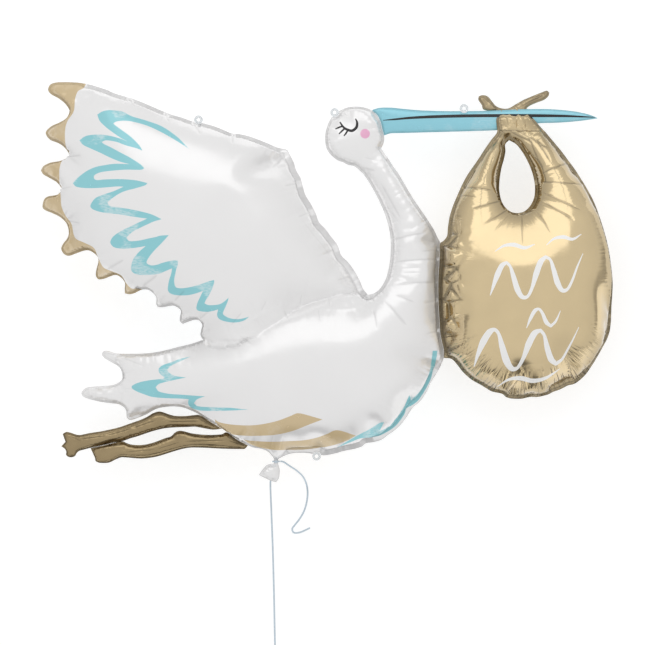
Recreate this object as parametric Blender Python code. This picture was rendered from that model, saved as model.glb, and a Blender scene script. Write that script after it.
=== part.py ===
"""Stork foil balloon with a bundle in its beak, lying on its back.

Run with blender --background --python part.py, or from Blender's text editor. Metres, +Z up.
The welded edges of the foil lie in one level plane above the floor, the printed front looks up,
and the back is pressed flat where it rests. The origin is on the floor, in the middle of the
balloon without its ribbon.
"""

import math

import bpy
import numpy as np
from mathutils.geometry import delaunay_2d_cdt

# Driving sizes of the whole figure
FIGURE_LENGTH = 1.57
SEAM_HEIGHT = 0.13
EDGE_THICKNESS = 0.002
CLEARANCE = 0.0006

# How full each piece is: its half thickness over that of a round tube of the same width
BODY_PUFF = 0.86
BUNDLE_PUFF = 0.84
LEG_PUFF = 0.95
BEAK_PUFF = 0.25
CREASE_HALF_THICKNESS = 0.052
CREASE_END_POWER = 0.4

# Widths of the flat welded edge
NARROW_WELD = 0.005
NECK_WELD = 0.008
WING_TOP_WELD = 0.011
WING_FRONT_WELD = 0.017
BELLY_WELD = 0.015
BEAK_WELD = 0.0025
LEG_WELD = 0.003
GATHERED_WELD = 0.0015

# Hang tabs
TAB_RADIUS = 0.012
TAB_HOLE_RADIUS = 0.005
TAB_THICKNESS = 0.002

# Filling neck and its knot
NECK_HALF_WIDTH = 0.006
NECK_HALF_THICKNESS = 0.0055
NECK_HALF_LENGTH = 0.006
KNOT_WIRE_RADIUS = 0.0021
KNOT_LUMP_RADIUS = 0.0042
KNOT_LOOSENESS = 0.0012

# Ribbon
RIBBON_WIDTH = 0.005
END_KNOT_RADIUS = 0.0042
FLOOR_GAP = 0.0003
TOUCH_GAP = 0.0003
END_KNOT_GAP = 0.001

# The bundle's band, which passes over the lower bill, through the mouth and behind the upper bill
BAND_HALF_THICKNESS = 0.0012
BAND_LIFT = 0.0085
BAND_DROP = 0.0056

# Mesh steps, and how near to a seam a panel's own points may come, as a share of the step
EDGE_STEP = 0.0195
PANEL_STEP = 0.039
CREASE_STEP = 0.02
BEAK_PANEL_STEP = 0.018
LEG_EDGE_STEP = 0.012
LEG_PANEL_STEP = 0.0115
RIBBON_STEP = 0.015
PANEL_CLEAR_SHARE = 0.6
SEAM_CLEAR_SHARE = 0.93
BAY_STEP = math.radians(20)
TAB_SIDES = 20
TAB_HOLE_SIDES = 10

# Outlines of the figure as shares of its length. They are drawn on a grid of about 572 squares
# along the figure, x to the right and y down, and the grid is scaled to FIGURE_LENGTH.
WING_FEATHERS = [
    (57, 82.3), (50.5, 84.5), (48.2, 90), (51.5, 94.5), (58, 98), (64.5, 103), (69, 109),
    (69.5, 112), (66.5, 118), (60, 122.3), (51.5, 126.2), (46, 131.5), (46.8, 136),
    (51, 140.3), (58.5, 143.2), (64.5, 147.5), (68.8, 153.5), (68, 157), (61, 160.7),
    (50, 162.8), (43.5, 166), (40.8, 170.5), (43.5, 174.5), (50, 178.2), (57, 182.5),
    (61.3, 188), (60.6, 191.5), (57, 194.8), (48, 196.5), (44, 199.8), (42.5, 207),
    (45.5, 210.3), (52, 213), (60, 217), (66.5, 223.5), (68.8, 231.5), (67.5, 238),
    (63, 244), (61.3, 249), (64, 254), (69, 255.8), (76, 253.5), (85, 250.5), (91, 251.2),
    (97.5, 256.5), (98.3, 262), (96.2, 270.5), (96, 276), (98.5, 279.3), (104, 278.8),
    (110, 276.5), (116, 275), (121.5, 278), (125, 283), (124.8, 288.5), (124.8, 293.3),
    (129, 294.3), (134.5, 293.2), (141, 290), (148, 289.8), (153.5, 293.5), (156.3, 298),
    (156.2, 304), (157.8, 307.2), (163, 307.3), (170, 306), (174, 305.8), (179, 308.5),
    (181, 311.5), (180, 317), (180, 321.5), (183, 324), (189, 321.5), (195, 319.8),
    (199.5, 321), (202.3, 325), (201.3, 329.5), (200.5, 335),
]
TAIL = [
    (203, 339.8), (192, 343.5), (178, 347), (165, 350.3), (150, 353), (130, 353.8),
    (116, 353.3), (107.5, 350.9), (103.5, 351.3), (102, 354.5), (104.5, 358), (112, 362.5),
    (118.5, 366.5), (121.8, 372), (122.4, 378), (120, 381.5), (113, 385), (103, 386),
    (92, 386.8), (86, 387.8), (82, 391.5), (82, 395.3), (85.5, 397.7), (92, 399.8),
    (102, 402), (112, 403.3), (118, 404), (123, 406.5), (126, 410.5), (126.6, 416.5),
    (129, 419.6), (133, 419.5), (140, 417), (147, 414), (153, 410.5), (158, 408.3),
    (165, 407), (173, 406.4), (182, 407.3), (190, 410),
]
LEG_LINE = [
    (197, 413.3), (200, 415.1), (213, 423), (222, 428.5), (227, 432.2), (237, 439.3),
    (248, 445.3), (253, 447.3),
]
BELLY_END = [(253, 447.3), (262, 449), (268, 451.8)]
FLARE = [
    (267.5, 464.5), (262.5, 469.5), (258.6, 475), (264, 477.6), (270.5, 480.6), (276, 482.4),
    (279, 478), (279.8, 470),
]
BELLY = [
    (284.5, 455.8), (293, 453.2), (302, 452.8), (310, 453.3), (325, 455.4), (335, 453.5),
    (344, 451), (354, 449), (362, 446.5), (366, 443.3), (374, 442), (382, 439.5), (388, 435),
    (394, 431), (400, 425.5), (406, 418), (410, 411.5), (413.5, 407), (420, 401.5),
    (424, 396), (427.5, 390), (430.5, 383), (434, 377.5), (437.5, 372), (440.5, 366),
]
CHEST_LINE = [
    (443.6, 358), (443.5, 350), (441.5, 341), (440, 333), (439.3, 322), (438.5, 310),
    (438, 295), (438, 280), (438.8, 266), (439.5, 254), (440, 243),
]
NECK_FRONT = [
    (440, 243), (437.5, 237.5), (434, 230), (428.5, 221), (421, 210), (413.5, 199),
    (406, 186.5), (399, 174.5), (393, 166), (388.5, 159), (384, 152.5),
]
HEAD_LOW = [(381, 148.5), (383.5, 143.5), (384.3, 139)]
BEAK_LINE = [(384, 135.5), (381.8, 128), (380, 121), (376.8, 115), (372, 110.5)]
HEAD = [
    (372, 110.5), (366, 108), (358, 106.6), (350, 107), (343, 109), (336.5, 112.8),
    (330.8, 118.5), (327.3, 126), (325.3, 134), (325.3, 142), (327, 149.5), (331.5, 155.5),
    (337.5, 160.3), (343, 162.3), (348, 164.8),
]
NECK_BACK = [
    (353.5, 166), (358, 169), (364, 175), (370, 184), (376, 194.5), (381.5, 206), (386, 217.5),
    (389.3, 230), (390.8, 243), (390.3, 257), (388.3, 270), (385, 280.5), (380, 288.5),
    (374.5, 293),
]
WING_FRONT = [
    (368, 295), (363, 288.5), (359.5, 280), (354.5, 271), (348, 262), (341.5, 255.5),
    (337.5, 245), (331, 236.5), (325, 228.5), (319.3, 222.5), (316, 214), (311, 204),
    (305.5, 195), (303, 187), (300.5, 178), (296, 170), (294, 163), (290, 155),
]
WING_TOP = [
    (287, 150), (276, 147), (268, 143.5), (258, 139.5), (248, 136), (238, 134), (231, 133.2),
    (222, 129.3), (213, 126), (205, 123.8), (191.5, 121.2), (183, 118), (172, 114.8),
    (160, 110), (149, 105.3), (137, 100.3), (125, 96.5), (115, 93.5), (107, 90), (98, 87),
    (89, 84.5), (79, 82.8), (68, 82.2),
]
CREASE = [
    (207, 337.3), (222, 336.7), (237, 331), (252, 321.5), (270, 311), (288, 306.5),
    (310, 307), (330, 308.7), (346, 309.3), (358, 306.5), (365.5, 300.5),
]
# Down the middle of the head and neck
NECK_SPINE = [
    (349, 135), (358, 148), (370, 161), (382, 177), (394, 197), (406, 219), (413, 238),
    (415, 256), (413, 273),
]
# Where the filling neck is tied, and the film's shoulders above it
TIE = (276.1, 461.4)
SHOULDER_LEFT = (271.5, 455.3)
SHOULDER_RIGHT = (281, 457.6)
# Points down the middle of the filling neck, with shares of its half thickness
NECK_RIDGE = [(276.3, 456.5, 1.3), (*TIE, 1.0), (273, 469, 0.8), (270, 476, 0.6)]

BUNDLE_RIGHT = [
    (544.5, 131.8), (552.5, 140.5), (560, 149.5), (568, 160), (576, 171), (583, 182),
    (590, 194), (596, 207), (601, 221), (605.5, 236), (608.8, 250), (611, 265), (612.5, 278),
    (612.5, 291), (611.5, 305), (611, 320), (609.5, 332), (606, 341), (601, 350), (596, 359),
    (591, 367), (586, 374), (580, 380), (574, 384), (568, 385.5), (560, 389.5), (553, 392),
    (548, 394.5), (538, 397), (530, 397), (521, 398.8), (511, 398.5), (506, 397),
    (502, 393.8), (492, 391.5), (481, 385), (471, 379.3), (462, 371), (457, 364.5),
    (451.5, 359),
]
BUNDLE_UPPER_LEFT = [
    (443, 241.2), (447, 236), (447.8, 228), (449.3, 218), (452.5, 207), (457, 196),
    (461.5, 186), (467, 175.5), (473.5, 166), (480, 156.5), (485.5, 148), (491.5, 139.5),
    (496, 134),
]
LOOP_HOLE = [
    (509, 140.2), (505.2, 144.5), (505.5, 151), (504, 159), (501.5, 168), (499.8, 178),
    (499.3, 190), (501, 199.5), (505, 207), (511, 211.8), (517.5, 213), (524.3, 211.3),
    (530, 206), (534, 198), (535, 188), (533.6, 178), (531, 169), (527, 160), (522, 151.5),
    (516, 144.2),
]
TAILS = [
    (489, 110.8), (483.3, 109), (482, 105), (478.6, 99.8), (479, 96), (483, 94.8), (488, 96.2),
    (492.2, 101.2), (496.5, 106), (502.5, 108.2), (509, 108), (516, 104), (523.5, 99.8),
    (531, 96.5), (541, 92.5), (547, 90.4), (549.6, 92.4), (548.6, 96), (544, 99.8),
    (537, 102.4), (530.5, 105.3), (526.8, 108),
]
# Down the middle of the two strands beside the loop
STRANDS = [
    [(493, 150), (489, 160), (483, 172), (478, 186)],
    [(530, 146), (539, 156), (547, 168), (555, 181), (561, 195)],
]
# Rows across the band, from the bundle up: y, left x, right x, and the share of lift or drop
BAND_ROWS = [
    (131, 497, 543.6, 1.0),
    (125, 496.3, 538.2, 1.0),
    (119.6, 496, 533.6, 1.0),
    (117, 497, 531.4, 0.6),
    (115.3, 497, 531, 0.0),
    (113.6, 497, 530.6, -0.95),
    (111.4, 496.5, 530, -1.0),
]
BAND_FOOT_Y = 141
THIN_ABOVE_Y = 131.5
THIN_BELOW_Y = 107.2

BEAK_TOP = [
    (372.8, 109.7), (380, 107.8), (390, 107.6), (405, 109), (420, 110.3), (440, 111),
    (455, 111.2), (475, 111), (490, 110.7), (505, 110), (520, 109.3), (535, 109), (550, 109.2),
    (565, 110.3), (578, 112), (588, 114.3), (595, 116.8),
]
BEAK_BOTTOM = [
    (598, 118.3), (585, 120.3), (570, 121.9), (555, 122.8), (540, 123.2), (530, 124.2),
    (520, 126.5), (508, 129), (495, 130.3), (470, 131.2), (440, 132), (410, 132.8),
    (390, 133.5),
]
MOUTH = [(490.5, 113.8), (539, 113.8), (539, 116.8), (490.5, 116.8)]

UPPER_LEG_TOP = [
    (193, 415.2), (185, 416), (175, 415.8), (168, 414), (162, 411.9), (158, 411.6),
    (153, 413.2), (147, 416.8), (140, 420), (130, 423.5), (120, 427), (110, 429.5),
    (100, 431.5), (90, 433), (80, 435), (76, 434.5), (70, 432.5), (66, 432), (62.7, 434),
    (64.3, 438.5), (65.5, 441.8), (61.3, 446.3), (65, 449), (66.3, 452), (66, 454.5),
    (68, 456.7), (71.5, 457.3), (75, 456), (76.8, 453), (79.5, 450.8), (84, 449.6),
]
LEGS_LINE = [(90.5, 448), (100, 446), (112, 443.2), (122.5, 441.2)]
UPPER_LEG_BOTTOM = [
    (130, 438.5), (140, 435.5), (150, 432), (163, 428.6), (175, 427.4),
    (188, 427), (195, 426.7), (203, 428), (213, 429.6),
]
LOWER_LEG_TOP = [
    (222, 434.2), (212, 434.9), (200, 434.4), (190, 433), (184, 431.3), (179, 430.8),
    (175, 432.5), (171, 436.3), (165, 438.2), (155, 442), (146, 444.4), (138, 445),
    (130, 444.2),
]
LOWER_LEG_BOTTOM = [
    (93, 453.5), (95, 458), (95.6, 461), (99, 462.7), (105, 463), (110, 462.3),
    (115, 459.8), (121, 457.4), (130, 457.8), (142, 458.5), (155, 457), (165, 454.2),
    (175, 451), (184, 448.6), (192, 447.6), (205, 447.8), (220, 448.6), (235, 449), (245, 448.7),
]

# Where the hang tabs sit in the welded edges
TAB_PLACES = {
    "wing_tab": (198.5, 119.8),
    "head_tab": (334.6, 112.4),
    "belly_tab": (316.6, 456.2),
    "beak_tab": (464, 108.4),
}

# Routes of the ribbon's ends: x, y on the grid, and the height above the floor in metres
LONG_END_ROUTE = [
    (276, 461.7, 0.1095), (275, 464.6, 0.0995), (272.6, 470, 0.085), (270.5, 477, 0.069),
    (269.6, 486, 0.051), (269.6, 497, 0.0335), (270, 510, 0.0185), (270.4, 524, 0.0085),
    (270.9, 538, 0.0038), (271.4, 552, 0.0028), (272, 572, 0.0028), (272.5, 592, 0.0028),
    (273, 614, 0.0028), (273.4, 636, 0.0028), (273.8, 655, 0.0028), (274, 665, 0.0034),
]
SHORT_END_ROUTE = [
    (283.5, 461.9, 0.1293), (290, 466.6, 0.116), (297.3, 472.4, 0.09), (303.2, 479.6, 0.059),
    (306.4, 488.5, 0.031), (307.3, 498, 0.0125), (306, 508, 0.0038), (303.3, 516.5, 0.0028),
    (299, 524, 0.0028), (294.5, 529.8, 0.0028), (291.5, 534, 0.0028), (293, 538, 0.0028),
    (299.5, 537.8, 0.0028), (309.8, 533.2, 0.0028),
]

COLLECTION = "stork_foil_balloon"


def clear_scene():
    for obj in list(bpy.data.objects):
        bpy.data.objects.remove(obj)


def curve_through(points, step, closed=False):
    """Points along a smooth curve through the given ones, which stay on it."""
    points = np.array(points, float)
    if closed:
        guides = np.vstack([points[-1], points, points[0], points[1]])
    else:
        guides = np.vstack([2 * points[0] - points[1], points, 2 * points[-1] - points[-2]])
    found = []
    for before, start, end, after in zip(guides, guides[1:], guides[2:], guides[3:]):
        pieces = max(1, round(float(np.linalg.norm(end - start)) / step))
        for t in np.arange(pieces) / pieces:
            found.append(
                start
                + 0.5 * t * (end - before)
                + 0.5 * t**2 * (2 * before - 5 * start + 4 * end - after)
                + 0.5 * t**3 * (3 * start - before - 3 * end + after)
            )
    if not closed:
        found.append(points[-1])
    return np.array(found)


def chained(stretches, step):
    """One closed loop from stretches that each start where the one before ends.

    A stretch is (points, weld width, curved). Corners are where stretches meet. The result is
    the loop's points and the weld width at each of them.
    """
    loop = []
    widths = []
    for index, (points, width, curved) in enumerate(stretches):
        following = stretches[(index + 1) % len(stretches)][0][0]
        points = list(points)
        if points[-1] != following:
            points.append(following)
        along = curve_through(points, step) if curved else np.array(points, float)
        loop.extend(along[:-1])
        widths.extend([width] * (len(along) - 1))
    return np.array(loop), np.array(widths)


def signed_area(loop):
    following = np.roll(loop, -1, axis=0)
    return 0.5 * float(np.sum(loop[:, 0] * following[:, 1] - following[:, 0] * loop[:, 1]))


def inside(points, loops):
    """Whether each point is within the first loop and outside the others, by crossings."""
    odd = np.zeros(len(points), bool)
    for loop in loops:
        start, end = loop, np.roll(loop, -1, axis=0)
        for (x0, y0), (x1, y1) in zip(start, end):
            if y0 == y1:
                continue
            level = (points[:, 1] > min(y0, y1)) & (points[:, 1] <= max(y0, y1))
            cross_x = x0 + (points[:, 1] - y0) * (x1 - x0) / (y1 - y0)
            odd ^= level & (points[:, 0] < cross_x)
    return odd


def distance_to(points, loops):
    """Distance from each point to the nearest side of the loops."""
    nearest = np.full(len(points), np.inf)
    for loop in loops:
        for start, end in zip(loop, np.roll(loop, -1, axis=0)):
            side = end - start
            share = np.clip((points - start) @ side / max(float(side @ side), 1e-18), 0, 1)
            gap = np.linalg.norm(points - start - share[:, None] * side, axis=1)
            nearest = np.minimum(nearest, gap)
    return nearest


def weld_line(loop, widths, loops):
    """The inner line of the welded edge, with points left out where two edges are too close."""
    before, after = np.roll(loop, 1, axis=0), np.roll(loop, -1, axis=0)
    along = after - before
    inward = np.column_stack([-along[:, 1], along[:, 0]])
    inward /= np.linalg.norm(inward, axis=1)[:, None]
    line = loop + inward * widths[:, None]
    keep = inside(line, loops) & (distance_to(line, loops) > SEAM_CLEAR_SHARE * widths)
    return line[keep]


def grid_points(loops, margin, step):
    """Points of a triangular grid inside the loops, at least margin from them."""
    low, high = loops[0].min(axis=0), loops[0].max(axis=0)
    rows = np.arange(low[1], high[1], step * math.sqrt(0.75))
    points = []
    for index, y in enumerate(rows):
        shift = 0.5 * step * (index % 2)
        points.extend((x, y) for x in np.arange(low[0] + shift, high[0], step))
    points = np.array(points)
    points = points[inside(points, loops)]
    return points[distance_to(points, loops) > margin]


def inflated_heights(points, triangles, held, puff):
    """Half thickness at each point of an inflated bag, from Poisson's equation over its plan.

    held gives a fixed half thickness, or nan where the bag is free.
    """
    corners = points[triangles]
    sides = np.stack(
        [corners[:, 2] - corners[:, 1], corners[:, 0] - corners[:, 2], corners[:, 1] - corners[:, 0]],
        axis=1,
    )
    area = 0.5 * (sides[:, 0, 0] * sides[:, 1, 1] - sides[:, 0, 1] * sides[:, 1, 0])
    local = np.einsum("tik,tjk->tij", sides, sides) / (4 * area[:, None, None])
    matrix = np.zeros((len(points), len(points)))
    for row in range(3):
        for column in range(3):
            np.add.at(matrix, (triangles[:, row], triangles[:, column]), local[:, row, column])
    load = np.bincount(triangles.ravel(), np.repeat(area / 3, 3), len(points))
    free = np.isnan(held)
    potential = np.where(free, 0, held**2 / (2 * puff**2))
    rest = load[free] - matrix[np.ix_(free, ~free)] @ potential[~free]
    potential[free] = np.linalg.solve(matrix[np.ix_(free, free)], rest)
    return puff * np.sqrt(2 * np.maximum(potential, 0))


def new_material(name, colour, roughness, metallic):
    material = bpy.data.materials.new(name)
    material.use_nodes = True
    shader = material.node_tree.nodes["Principled BSDF"]
    shader.inputs["Base Color"].default_value = (*colour, 1)
    shader.inputs["Roughness"].default_value = roughness
    shader.inputs["Metallic"].default_value = metallic
    material.diffuse_color = (*colour, 1)
    return material


def add_object(name, data, collection, material):
    obj = bpy.data.objects.new(name, data)
    obj.data.materials.append(material)
    collection.objects.link(obj)
    return obj


def foil_bag(
    name, rims, puff, step, collection, material, held_points=(), rows=(), thin=None, lift=None
):
    """A closed inflated bag lying level, with a flat welded edge around it.

    rims is a list of (loop, weld widths), the outer loop first. held_points are (x, y, half
    thickness). rows are lists of points that become mesh edges. thin(points) says which points
    keep the band's half thickness, and lift(points) is added to the height of both sheets.
    """
    loops = []
    for index, (loop, widths) in enumerate(rims):
        turned = (signed_area(loop) > 0) == (index > 0)
        loops.append((loop[::-1], widths[::-1]) if turned else (loop, widths))
    outlines = [loop for loop, _ in loops]
    rim = np.vstack(outlines)
    seam = np.vstack([weld_line(loop, widths, outlines) for loop, widths in loops])
    held_points = np.array(held_points, float).reshape(-1, 3)
    row_points = np.array([point for row in rows for point in row], float).reshape(-1, 2)
    fixed = np.vstack([seam, held_points[:, :2], row_points])
    margin = max(float(widths.min()) for _, widths in loops) + 0.5 * step
    field = grid_points(outlines, margin, step)
    gaps = np.array([np.linalg.norm(fixed - point, axis=1).min() for point in field])
    points = np.vstack([rim, fixed, field[gaps > PANEL_CLEAR_SHARE * step]])

    edges = []
    first = 0
    for loop in outlines:
        count = len(loop)
        edges.extend((first + i, first + (i + 1) % count) for i in range(count))
        first += count
    row_first = len(rim) + len(seam) + len(held_points)
    for row in rows:
        edges.extend((row_first + i, row_first + i + 1) for i in range(len(row) - 1))
        row_first += len(row)
    found = delaunay_2d_cdt([tuple(point) for point in points], edges, [], 1, 1e-7)
    points = np.array([tuple(point) for point in found[0]])
    triangles = np.array([face for face in found[2] if len(face) == 3])
    triangles = triangles[inside(points[triangles].mean(axis=1), outlines)]
    origin = np.array([min(sources) if sources else -1 for sources in found[3]])

    held = np.full(len(points), np.nan)
    edge = 0.5 * EDGE_THICKNESS
    on_rim = (origin >= 0) & (origin < len(rim))
    held[(origin >= 0) & (origin < len(rim) + len(seam))] = edge
    for index, (_, _, height) in enumerate(held_points):
        held[origin == len(rim) + len(seam) + index] = height
    if thin is not None:
        held[thin(points) & ~on_rim] = BAND_HALF_THICKNESS
    heights = np.maximum(inflated_heights(points, triangles, held, puff), edge)
    lifts = np.zeros(len(points)) if lift is None else lift(points)

    top = SEAM_HEIGHT + lifts + heights
    bottom = np.maximum(SEAM_HEIGHT + lifts - heights, 0)
    count = len(points)
    vertices = np.vstack([np.column_stack([points, top]), np.column_stack([points, bottom])])
    faces = triangles.tolist() + (triangles[:, ::-1] + count).tolist()
    place = {int(source): index for index, source in enumerate(origin) if 0 <= source < len(rim)}
    for start, end in edges[: len(rim)]:
        a, b = place[start], place[end]
        faces.append([a + count, b + count, b, a])
    mesh = bpy.data.meshes.new(name)
    mesh.from_pydata(vertices.tolist(), [], faces)
    mesh.validate()
    mesh.shade_smooth()
    return add_object(name, mesh, collection, material)


class Grid:
    """The drawing's grid, scaled to the figure's length and centred on it."""

    def __init__(self, loops):
        corners = np.vstack(loops)
        low, high = corners.min(axis=0), corners.max(axis=0)
        self.unit = FIGURE_LENGTH / float(high[0] - low[0])
        self.middle = 0.5 * (low + high)

    def place(self, points):
        points = np.array(points, float)
        return (points - self.middle) * (self.unit, -self.unit)

    def place_3d(self, points):
        points = np.array(points, float)
        return np.column_stack([self.place(points[:, :2]), points[:, 2]])

    def y(self, value):
        return (self.middle[1] - value) * self.unit


def beside(line, metres, unit):
    """A shared edge line moved aside by a distance in metres, to the right as x grows down."""
    line = np.array(line, float)
    along = line[-1] - line[0]
    aside = np.array([-along[1], along[0]]) / np.linalg.norm(along)
    return [tuple(point) for point in line + aside * metres / unit]


def cut_bay(loop, widths, centre, radius):
    """The loop with a round bay cut into it, in which a hang tab sits."""
    out = np.linalg.norm(loop - centre, axis=1) > radius
    start = next(i for i in range(len(loop)) if out[i - 1] and not out[i])
    loop, widths, out = (np.roll(values, -start, axis=0) for values in (loop, widths, out))
    inner = int(np.argmax(out))

    def crossing(outer, within):
        low, high = 0.0, 1.0
        for _ in range(30):
            middle = 0.5 * (low + high)
            far = np.linalg.norm(outer + middle * (within - outer) - centre) > radius
            low, high = (middle, high) if far else (low, middle)
        return outer + low * (within - outer)

    ends = crossing(loop[-1], loop[0]), crossing(loop[inner], loop[inner - 1])
    angles = [math.atan2(*(end - centre)[::-1]) for end in ends]
    turn = (angles[1] - angles[0]) % (2 * math.pi)
    middle = angles[0] + 0.5 * turn
    probe = centre + radius * np.array([[math.cos(middle), math.sin(middle)]])
    if not inside(probe, [loop])[0]:
        turn -= 2 * math.pi
    steps = max(4, round(abs(turn) / BAY_STEP))
    arc_angles = angles[0] + turn * np.arange(steps + 1) / steps
    arc = centre + radius * np.column_stack([np.cos(arc_angles), np.sin(arc_angles)])
    return np.vstack([arc, loop[inner:]]), np.concatenate([[widths[0]] * len(arc), widths[inner:]])


def neck_sides(unit):
    """The two sides of the gathered filling neck, from the belly to its tie."""
    half = NECK_HALF_WIDTH / unit
    reach = NECK_HALF_LENGTH / unit
    x, y = TIE
    left = [BELLY_END[-1], SHOULDER_LEFT, (x - half, y - reach), (x - half, y), (x - half, y + reach)]
    right = [(x + half, y + reach), (x + half, y), (x + half, y - reach), SHOULDER_RIGHT, BELLY[0]]
    return left, right


def envelope_stretches(unit):
    left, right = neck_sides(unit)
    flare = [left[-1], *FLARE, right[0]]
    return [
        (WING_FEATHERS, NARROW_WELD, True),
        (TAIL, NARROW_WELD, True),
        (LEG_LINE, NARROW_WELD, False),
        (BELLY_END, NARROW_WELD, True),
        (left, GATHERED_WELD, False),
        (flare, GATHERED_WELD, False),
        (right, GATHERED_WELD, False),
        (BELLY, BELLY_WELD, True),
        (CHEST_LINE, NECK_WELD, False),
        (NECK_FRONT, NECK_WELD, True),
        (HEAD_LOW, NECK_WELD, True),
        (BEAK_LINE, NARROW_WELD, False),
        (HEAD, NECK_WELD, True),
        (NECK_BACK, NECK_WELD, True),
        (WING_FRONT, WING_FRONT_WELD, True),
        (WING_TOP, WING_TOP_WELD, True),
    ]


def drawn_length():
    """The figure's length in squares of the drawing's grid, from its outermost points."""
    return max(x for x, _ in BUNDLE_RIGHT) - min(x for x, _ in WING_FEATHERS)


def figure_outlines():
    """The loops whose outermost points set the figure's length, on the drawing's grid."""
    unit = FIGURE_LENGTH / drawn_length()
    step = EDGE_STEP / unit
    return [chained(stretches(unit), step)[0] for stretches in (envelope_stretches, bundle_stretches)]


def build_envelope(grid, collection, material):
    loop, widths = chained(envelope_stretches(grid.unit), EDGE_STEP / grid.unit)
    loop = grid.place(loop)
    for name in ("wing_tab", "head_tab", "belly_tab"):
        centre = grid.place(TAB_PLACES[name])
        loop, widths = cut_bay(loop, widths, centre, TAB_RADIUS + CLEARANCE)
    crease = curve_through(CREASE, CREASE_STEP / grid.unit)
    shares = np.linspace(0, 1, len(crease))[1:-1]
    depths = CREASE_HALF_THICKNESS * np.sin(math.pi * shares) ** CREASE_END_POWER
    held = [(*point, depth) for point, depth in zip(grid.place(crease[1:-1]), depths)]
    for *point, share in NECK_RIDGE:
        held.append((*grid.place(point), share * NECK_HALF_THICKNESS))
    spine = grid.place(curve_through(NECK_SPINE, CREASE_STEP / grid.unit))
    foil_bag(
        "stork_envelope",
        [(loop, widths)],
        BODY_PUFF,
        PANEL_STEP,
        collection,
        material,
        held_points=held,
        rows=[spine],
    )


def band_sides():
    left = [(left, y) for y, left, _, _ in BAND_ROWS]
    right = [(right, y) for y, _, right, _ in BAND_ROWS]
    return left, right[::-1]


def bundle_stretches(unit):
    left, right = band_sides()
    chest = beside(CHEST_LINE, CLEARANCE, unit)
    return [
        (BUNDLE_RIGHT, NECK_WELD, True),
        (chest, NECK_WELD, False),
        (BUNDLE_UPPER_LEFT, NECK_WELD, True),
        (left, NARROW_WELD, False),
        (TAILS, NARROW_WELD, True),
        (right, NARROW_WELD, False),
    ]


def build_bundle(grid, collection, material):
    step = EDGE_STEP / grid.unit
    loop, widths = chained(bundle_stretches(grid.unit), step)
    hole = curve_through(LOOP_HOLE, step, closed=True)
    rows = []
    for y, left, right, _ in BAND_ROWS:
        count = max(2, round((right - left) / step))
        rows.append(grid.place([(left + (right - left) * i / count, y) for i in range(1, count)]))
    for strand in STRANDS:
        rows.append(grid.place(curve_through(strand, CREASE_STEP / grid.unit)))
    levels = [grid.y(y) for y, *_ in BAND_ROWS]
    lifts = [BAND_LIFT * max(share, 0) + BAND_DROP * min(share, 0) for *_, share in BAND_ROWS]

    def lift(points):
        return np.interp(points[:, 1], [grid.y(BAND_FOOT_Y), *levels], [0, *lifts])

    def thin(points):
        return (points[:, 1] > grid.y(THIN_ABOVE_Y)) & (points[:, 1] < grid.y(THIN_BELOW_Y))

    rims = [(grid.place(loop), widths), (grid.place(hole), np.full(len(hole), NECK_WELD))]
    foil_bag(
        "bundle",
        rims,
        BUNDLE_PUFF,
        PANEL_STEP,
        collection,
        material,
        rows=rows,
        thin=thin,
        lift=lift,
    )


def build_beak(grid, collection, material):
    step = EDGE_STEP / grid.unit
    root = beside(BEAK_LINE, CLEARANCE, grid.unit)
    loop, widths = chained(
        [(BEAK_TOP, BEAK_WELD, True), (BEAK_BOTTOM, BEAK_WELD, True), (root, BEAK_WELD, False)], step
    )
    tab = grid.place(TAB_PLACES["beak_tab"])
    loop, widths = cut_bay(grid.place(loop), widths, tab, TAB_RADIUS + CLEARANCE)
    mouth, mouth_widths = chained([([corner], BEAK_WELD, True) for corner in MOUTH], step)
    rims = [(loop, widths), (grid.place(mouth), mouth_widths)]
    foil_bag("beak", rims, BEAK_PUFF, BEAK_PANEL_STEP, collection, material)


def build_leg(name, stretches, grid, collection, material):
    edge_step = LEG_EDGE_STEP / grid.unit
    loop, widths = chained([(points, LEG_WELD, curved) for points, curved in stretches], edge_step)
    foil_bag(name, [(grid.place(loop), widths)], LEG_PUFF, LEG_PANEL_STEP, collection, material)


def build_legs(grid, collection, material):
    hip = beside(LEG_LINE, CLEARANCE, grid.unit)
    upper_side = beside(LEGS_LINE, -0.5 * CLEARANCE, grid.unit)
    lower_side = beside(LEGS_LINE, 0.5 * CLEARANCE, grid.unit)
    upper = [
        (UPPER_LEG_TOP, True),
        (upper_side, False),
        (UPPER_LEG_BOTTOM, True),
        (hip[3:0:-1], False),
    ]
    lower = [
        (LOWER_LEG_TOP, True),
        (lower_side[::-1], False),
        (LOWER_LEG_BOTTOM, True),
        (hip[6:3:-1], False),
    ]
    build_leg("upper_leg", upper, grid, collection, material)
    build_leg("lower_leg", lower, grid, collection, material)


def build_tab(name, grid, collection, material):
    curve = bpy.data.curves.new(name, "CURVE")
    curve.dimensions = "2D"
    curve.fill_mode = "BOTH"
    curve.extrude = 0.5 * TAB_THICKNESS
    for radius, count in ((TAB_RADIUS, TAB_SIDES), (TAB_HOLE_RADIUS, TAB_HOLE_SIDES)):
        spline = curve.splines.new("POLY")
        spline.points.add(count - 1)
        for index, point in enumerate(spline.points):
            angle = 2 * math.pi * index / count
            point.co = (radius * math.cos(angle), radius * math.sin(angle), 0, 1)
        spline.use_cyclic_u = True
    obj = add_object(name, curve, collection, material)
    obj.location = (*grid.place(TAB_PLACES[name]), SEAM_HEIGHT)


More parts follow.
